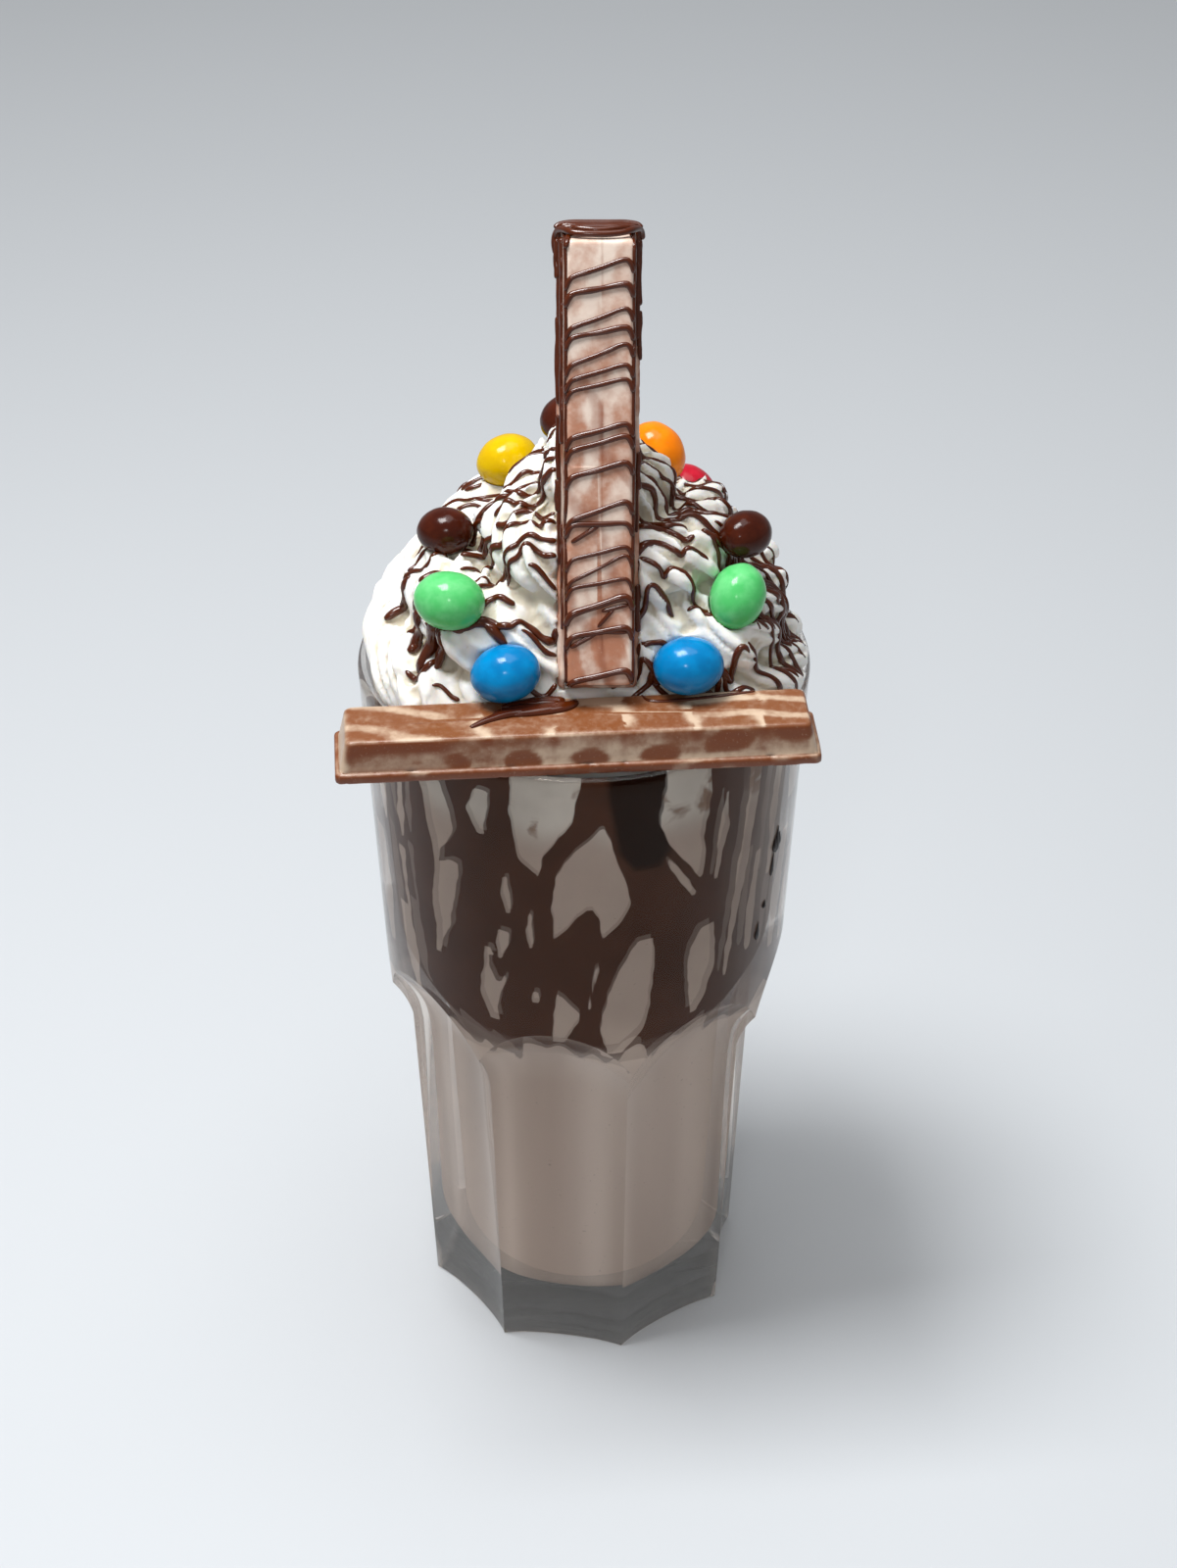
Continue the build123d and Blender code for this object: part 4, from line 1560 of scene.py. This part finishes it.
def cream_sauce(tree, draw):
    """Lines poured to and fro over the cream on both sides of the finger, and round its back."""
    pour = Vector((0, 0.12, -1)).normalized()
    lift = 330.0
    carried = pour.y / -pour.z * (lift - glass_height - 20)
    paths = []
    strokes = side_strokes(draw) + shoulder_strokes(draw) + back_strokes(draw) + dab_strokes()
    for points, thickness, seed in strokes:
        plan = smooth_plan([Vector((x, y - carried, lift)) for x, y in points], 2)
        for run in sauce_runs(tree, poured_hits(tree, plan, pour)):
            paths.append(sauce_path(run, thickness, seed))
    return paths


def lying_sauce(tree):
    """Pool with a tail under the left blue candy, and a thin line along the lying finger's back edge."""
    paths = []
    rows = [
        (1.15, [(-20.0, -2.6), (-16.5, -0.4), (-12.0, 1.6), (-6.0, 1.4), (-1.6, 2.4), (0.2, 4.4)]),
        (1.2, [(-15.5, 1.4), (-11.0, 2.6), (-5.0, 2.4), (-1.0, 3.4)]),
        (1.1, [(-14.0, 3.6), (-9.0, 4.2), (-3.0, 3.8)]),
        (1.2, [(-13.5, 2.2), (-8.0, 2.0), (-3.0, 2.4)]),
        (1.2, [(-14.5, 0.9), (-9.0, 1.2), (-4.0, 2.0), (-0.6, 3.6)]),
        (1.1, [(-12.0, 4.4), (-7.0, 4.9), (-2.0, 4.6)]),
        (0.4, [(12.6, 6.0), (13.4, 3.6), (17.0, 3.2), (25.0, 4.0), (34.0, 5.4)]),
    ]
    for radius, points in rows:
        plan = smooth_plan([Vector((along, across, 0)) for along, across in points])
        path = []
        for number, spot in enumerate(plan):
            start = Vector(lying_seat.outward((spot.x, spot.y, 20)))
            place, normal, _, _ = tree.ray_cast(start, Vector((0, 0, -1)))
            if place is None:
                continue
            share = number / (len(plan) - 1)
            taper = min(1, 0.3 + 1.8 * share) * min(1, 0.55 + 3.0 * (1 - share))
            thick = radius * taper * (1 + 0.15 * lumps(place, 3.0, radius))
            path.append((place + normal * thick * 0.1, normal, thick))
        paths.append(path)
    return paths


def drizzle_pieces(tree, standing_tree, lying_tree):
    """All the sauce that lies on top or ran down the wall, one piece for each place."""
    draw = random.Random(5)
    sauce = sauce_material("chocolate_sauce", srgb("421703"), srgb("572308"))
    dried = sauce_material("dried_sauce", srgb("100602"), srgb("1c0b05"))
    on_standing = under_the_top(finger_sauce(standing_tree, draw) + cap_paths())
    for name, paths, slot in (
        ("sauce_on_standing_finger", on_standing, "wafer"),
        ("sauce_on_cream", cream_sauce(tree, draw), "cream"),
        ("sauce_on_lying_finger", lying_sauce(lying_tree), "wafer"),
        ("sauce_outside_the_wall", wall_drips(), "clear_glass"),
    ):
        points, faces = tube_mesh(paths)
        piece = mesh_piece(name, points, faces, dried if slot == "clear_glass" else sauce)
        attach(piece, "root")


def wall_drips():
    """Small dark drops that ran down the outside of the wall: azimuth, height, length and half width."""
    paths = []
    for azimuth, high, length, radius in (
        (-27.9, 127.9, 5.2, 0.85), (-29.2, 127.3, 2.8, 0.75), (-26.6, 127.5, 2.6, 0.7),
        (-29.4, 122.5, 5.0, 0.5), (-32.2, 113.6, 1.6, 0.6), (-34.7, 107.9, 3.6, 0.65),
        (24.0, 140.0, 4.0, 0.6), (171.0, 132.0, 3.0, 0.6),
    ):
        path = []
        for step in range(13):
            share = step / 12
            height = high - length * (share - 0.5) * 1.2
            turned = azimuth - 0.6 * share
            reach = wall_radius(height)
            out = Vector(direction(turned))
            wide = 1.35 * radius * max(share, 0.08) * math.sqrt(max(1 - share ** 5, 0.02))
            path.append((out * (reach + 0.12) + Vector((0, 0, height)), out, wide))
        paths.append(path)
    return paths


# ---------------------------------------------------------------- stage
def make_floor():
    """Pale level floor, which belongs to the stage."""
    look = Shading("pale_floor")
    place = look.coordinates()
    shade = look.mix(look.noise(place, 0.002, 2.0), srgb("ccd0d4"), srgb("d1d5d9"))
    look.set(Base_Color=shade, Roughness=0.55)
    half = 3000.0 * MM
    corners = [(-half, -half, 0), (half, -half, 0), (half, half, 0), (-half, half, 0)]
    mesh = bpy.data.meshes.new("floor")
    mesh.from_pydata(corners, [], [(0, 1, 2, 3)])
    mesh.materials.append(look.material)
    floor = bpy.data.objects.new("floor", mesh)
    bpy.context.scene.collection.objects.link(floor)


def aim(thing, place, target):
    """Puts a camera or a lamp at a place, in metres, and turns it to a target."""
    thing.location = place
    thing.rotation_euler = (Vector(target) - Vector(place)).to_track_quat("-Z", "Y").to_euler()
    bpy.context.scene.collection.objects.link(thing)


def make_camera():
    """Camera that looks at the middle of the part from the photo's side."""
    data = bpy.data.cameras.new("camera")
    data.sensor_fit = "VERTICAL"
    data.sensor_height = 36
    data.lens = 74.25
    data.clip_end = 20
    camera = bpy.data.objects.new("camera", data)
    target = Vector((0.0009, 0, 0.1266))
    distance = 0.655
    elevation = math.radians(35.5)
    place = target + distance * Vector((0, -math.cos(elevation), math.sin(elevation)))
    aim(camera, place, target)
    bpy.context.scene.camera = camera


def make_lamp(name, place, target, size, power):
    """Square area lamp."""
    data = bpy.data.lights.new(name, "AREA")
    data.shape = "RECTANGLE"
    data.size, data.size_y = size, size
    data.energy = power
    aim(bpy.data.objects.new(name, data), place, target)


def make_stage():
    """Pale floor, the camera and soft light."""
    make_floor()
    make_camera()
    make_lamp("key", (-0.22, -0.04, 0.9), (0, 0, 0.12), 0.28, 6.8)
    make_lamp("top", (0.03, 0.04, 1.1), (0, 0, 0.1), 0.6, 3.2)
    make_lamp("camera_side", (-0.12, -0.95, 0.8), (0, 0, 0.14), 0.12, 1.1)
    world = bpy.data.worlds.new("studio")
    world.use_nodes = True
    background = world.node_tree.nodes["Background"]
    background.inputs["Color"].default_value = (0.98, 0.99, 1.0, 1.0)
    background.inputs["Strength"].default_value = 0.29
    bpy.context.scene.world = world
    bpy.context.scene.view_settings.view_transform = "Standard"


# ---------------------------------------------------------------- assembly
make_stage()
glass_piece()
drink_piece()
wafer_lying = wafer_piece(
    "wafer_lying_finger", "wafer_lying", lying_seat, lying_length,
    wafer_material("marbled_lying", srgb("7f4b2a"), srgb("ccb39a"), srgb("74360c")),
    seed=1.0, pattern=lying_marbling, rim_white=0.6, rim_cocoa=0.85,
)
bare_seat = Seat(
    standing_seat.origin - standing_up * cap_thickness / 2, standing_seat.axes[0], standing_seat.axes[2]
)
wafer_standing = wafer_piece(
    "wafer_standing_finger", "wafer_standing", bare_seat, standing_length - cap_thickness,
    wafer_material("marbled_standing", srgb("b57a5e"), srgb("ecd9ca"), srgb("8c4d33")),
    seed=8.0, pattern=standing_marbling, rim_white=0.85, rim_cocoa=0.6,
)
candy_nodes = sorted(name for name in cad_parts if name.startswith("candy_"))
candy_looks = {
    colour: candy_material("shell_" + colour, srgb(codes[0]), srgb(codes[1]))
    for colour, codes in CANDY_COLOURS.items()
}
for number, node in enumerate(candy_nodes):
    candy_piece(node, candy_looks[node.split("_")[1]], float(number))
cream = cream_piece(candy_nodes)
drizzle_pieces(surface_under(cream), surface_under(wafer_standing), surface_under(wafer_lying))
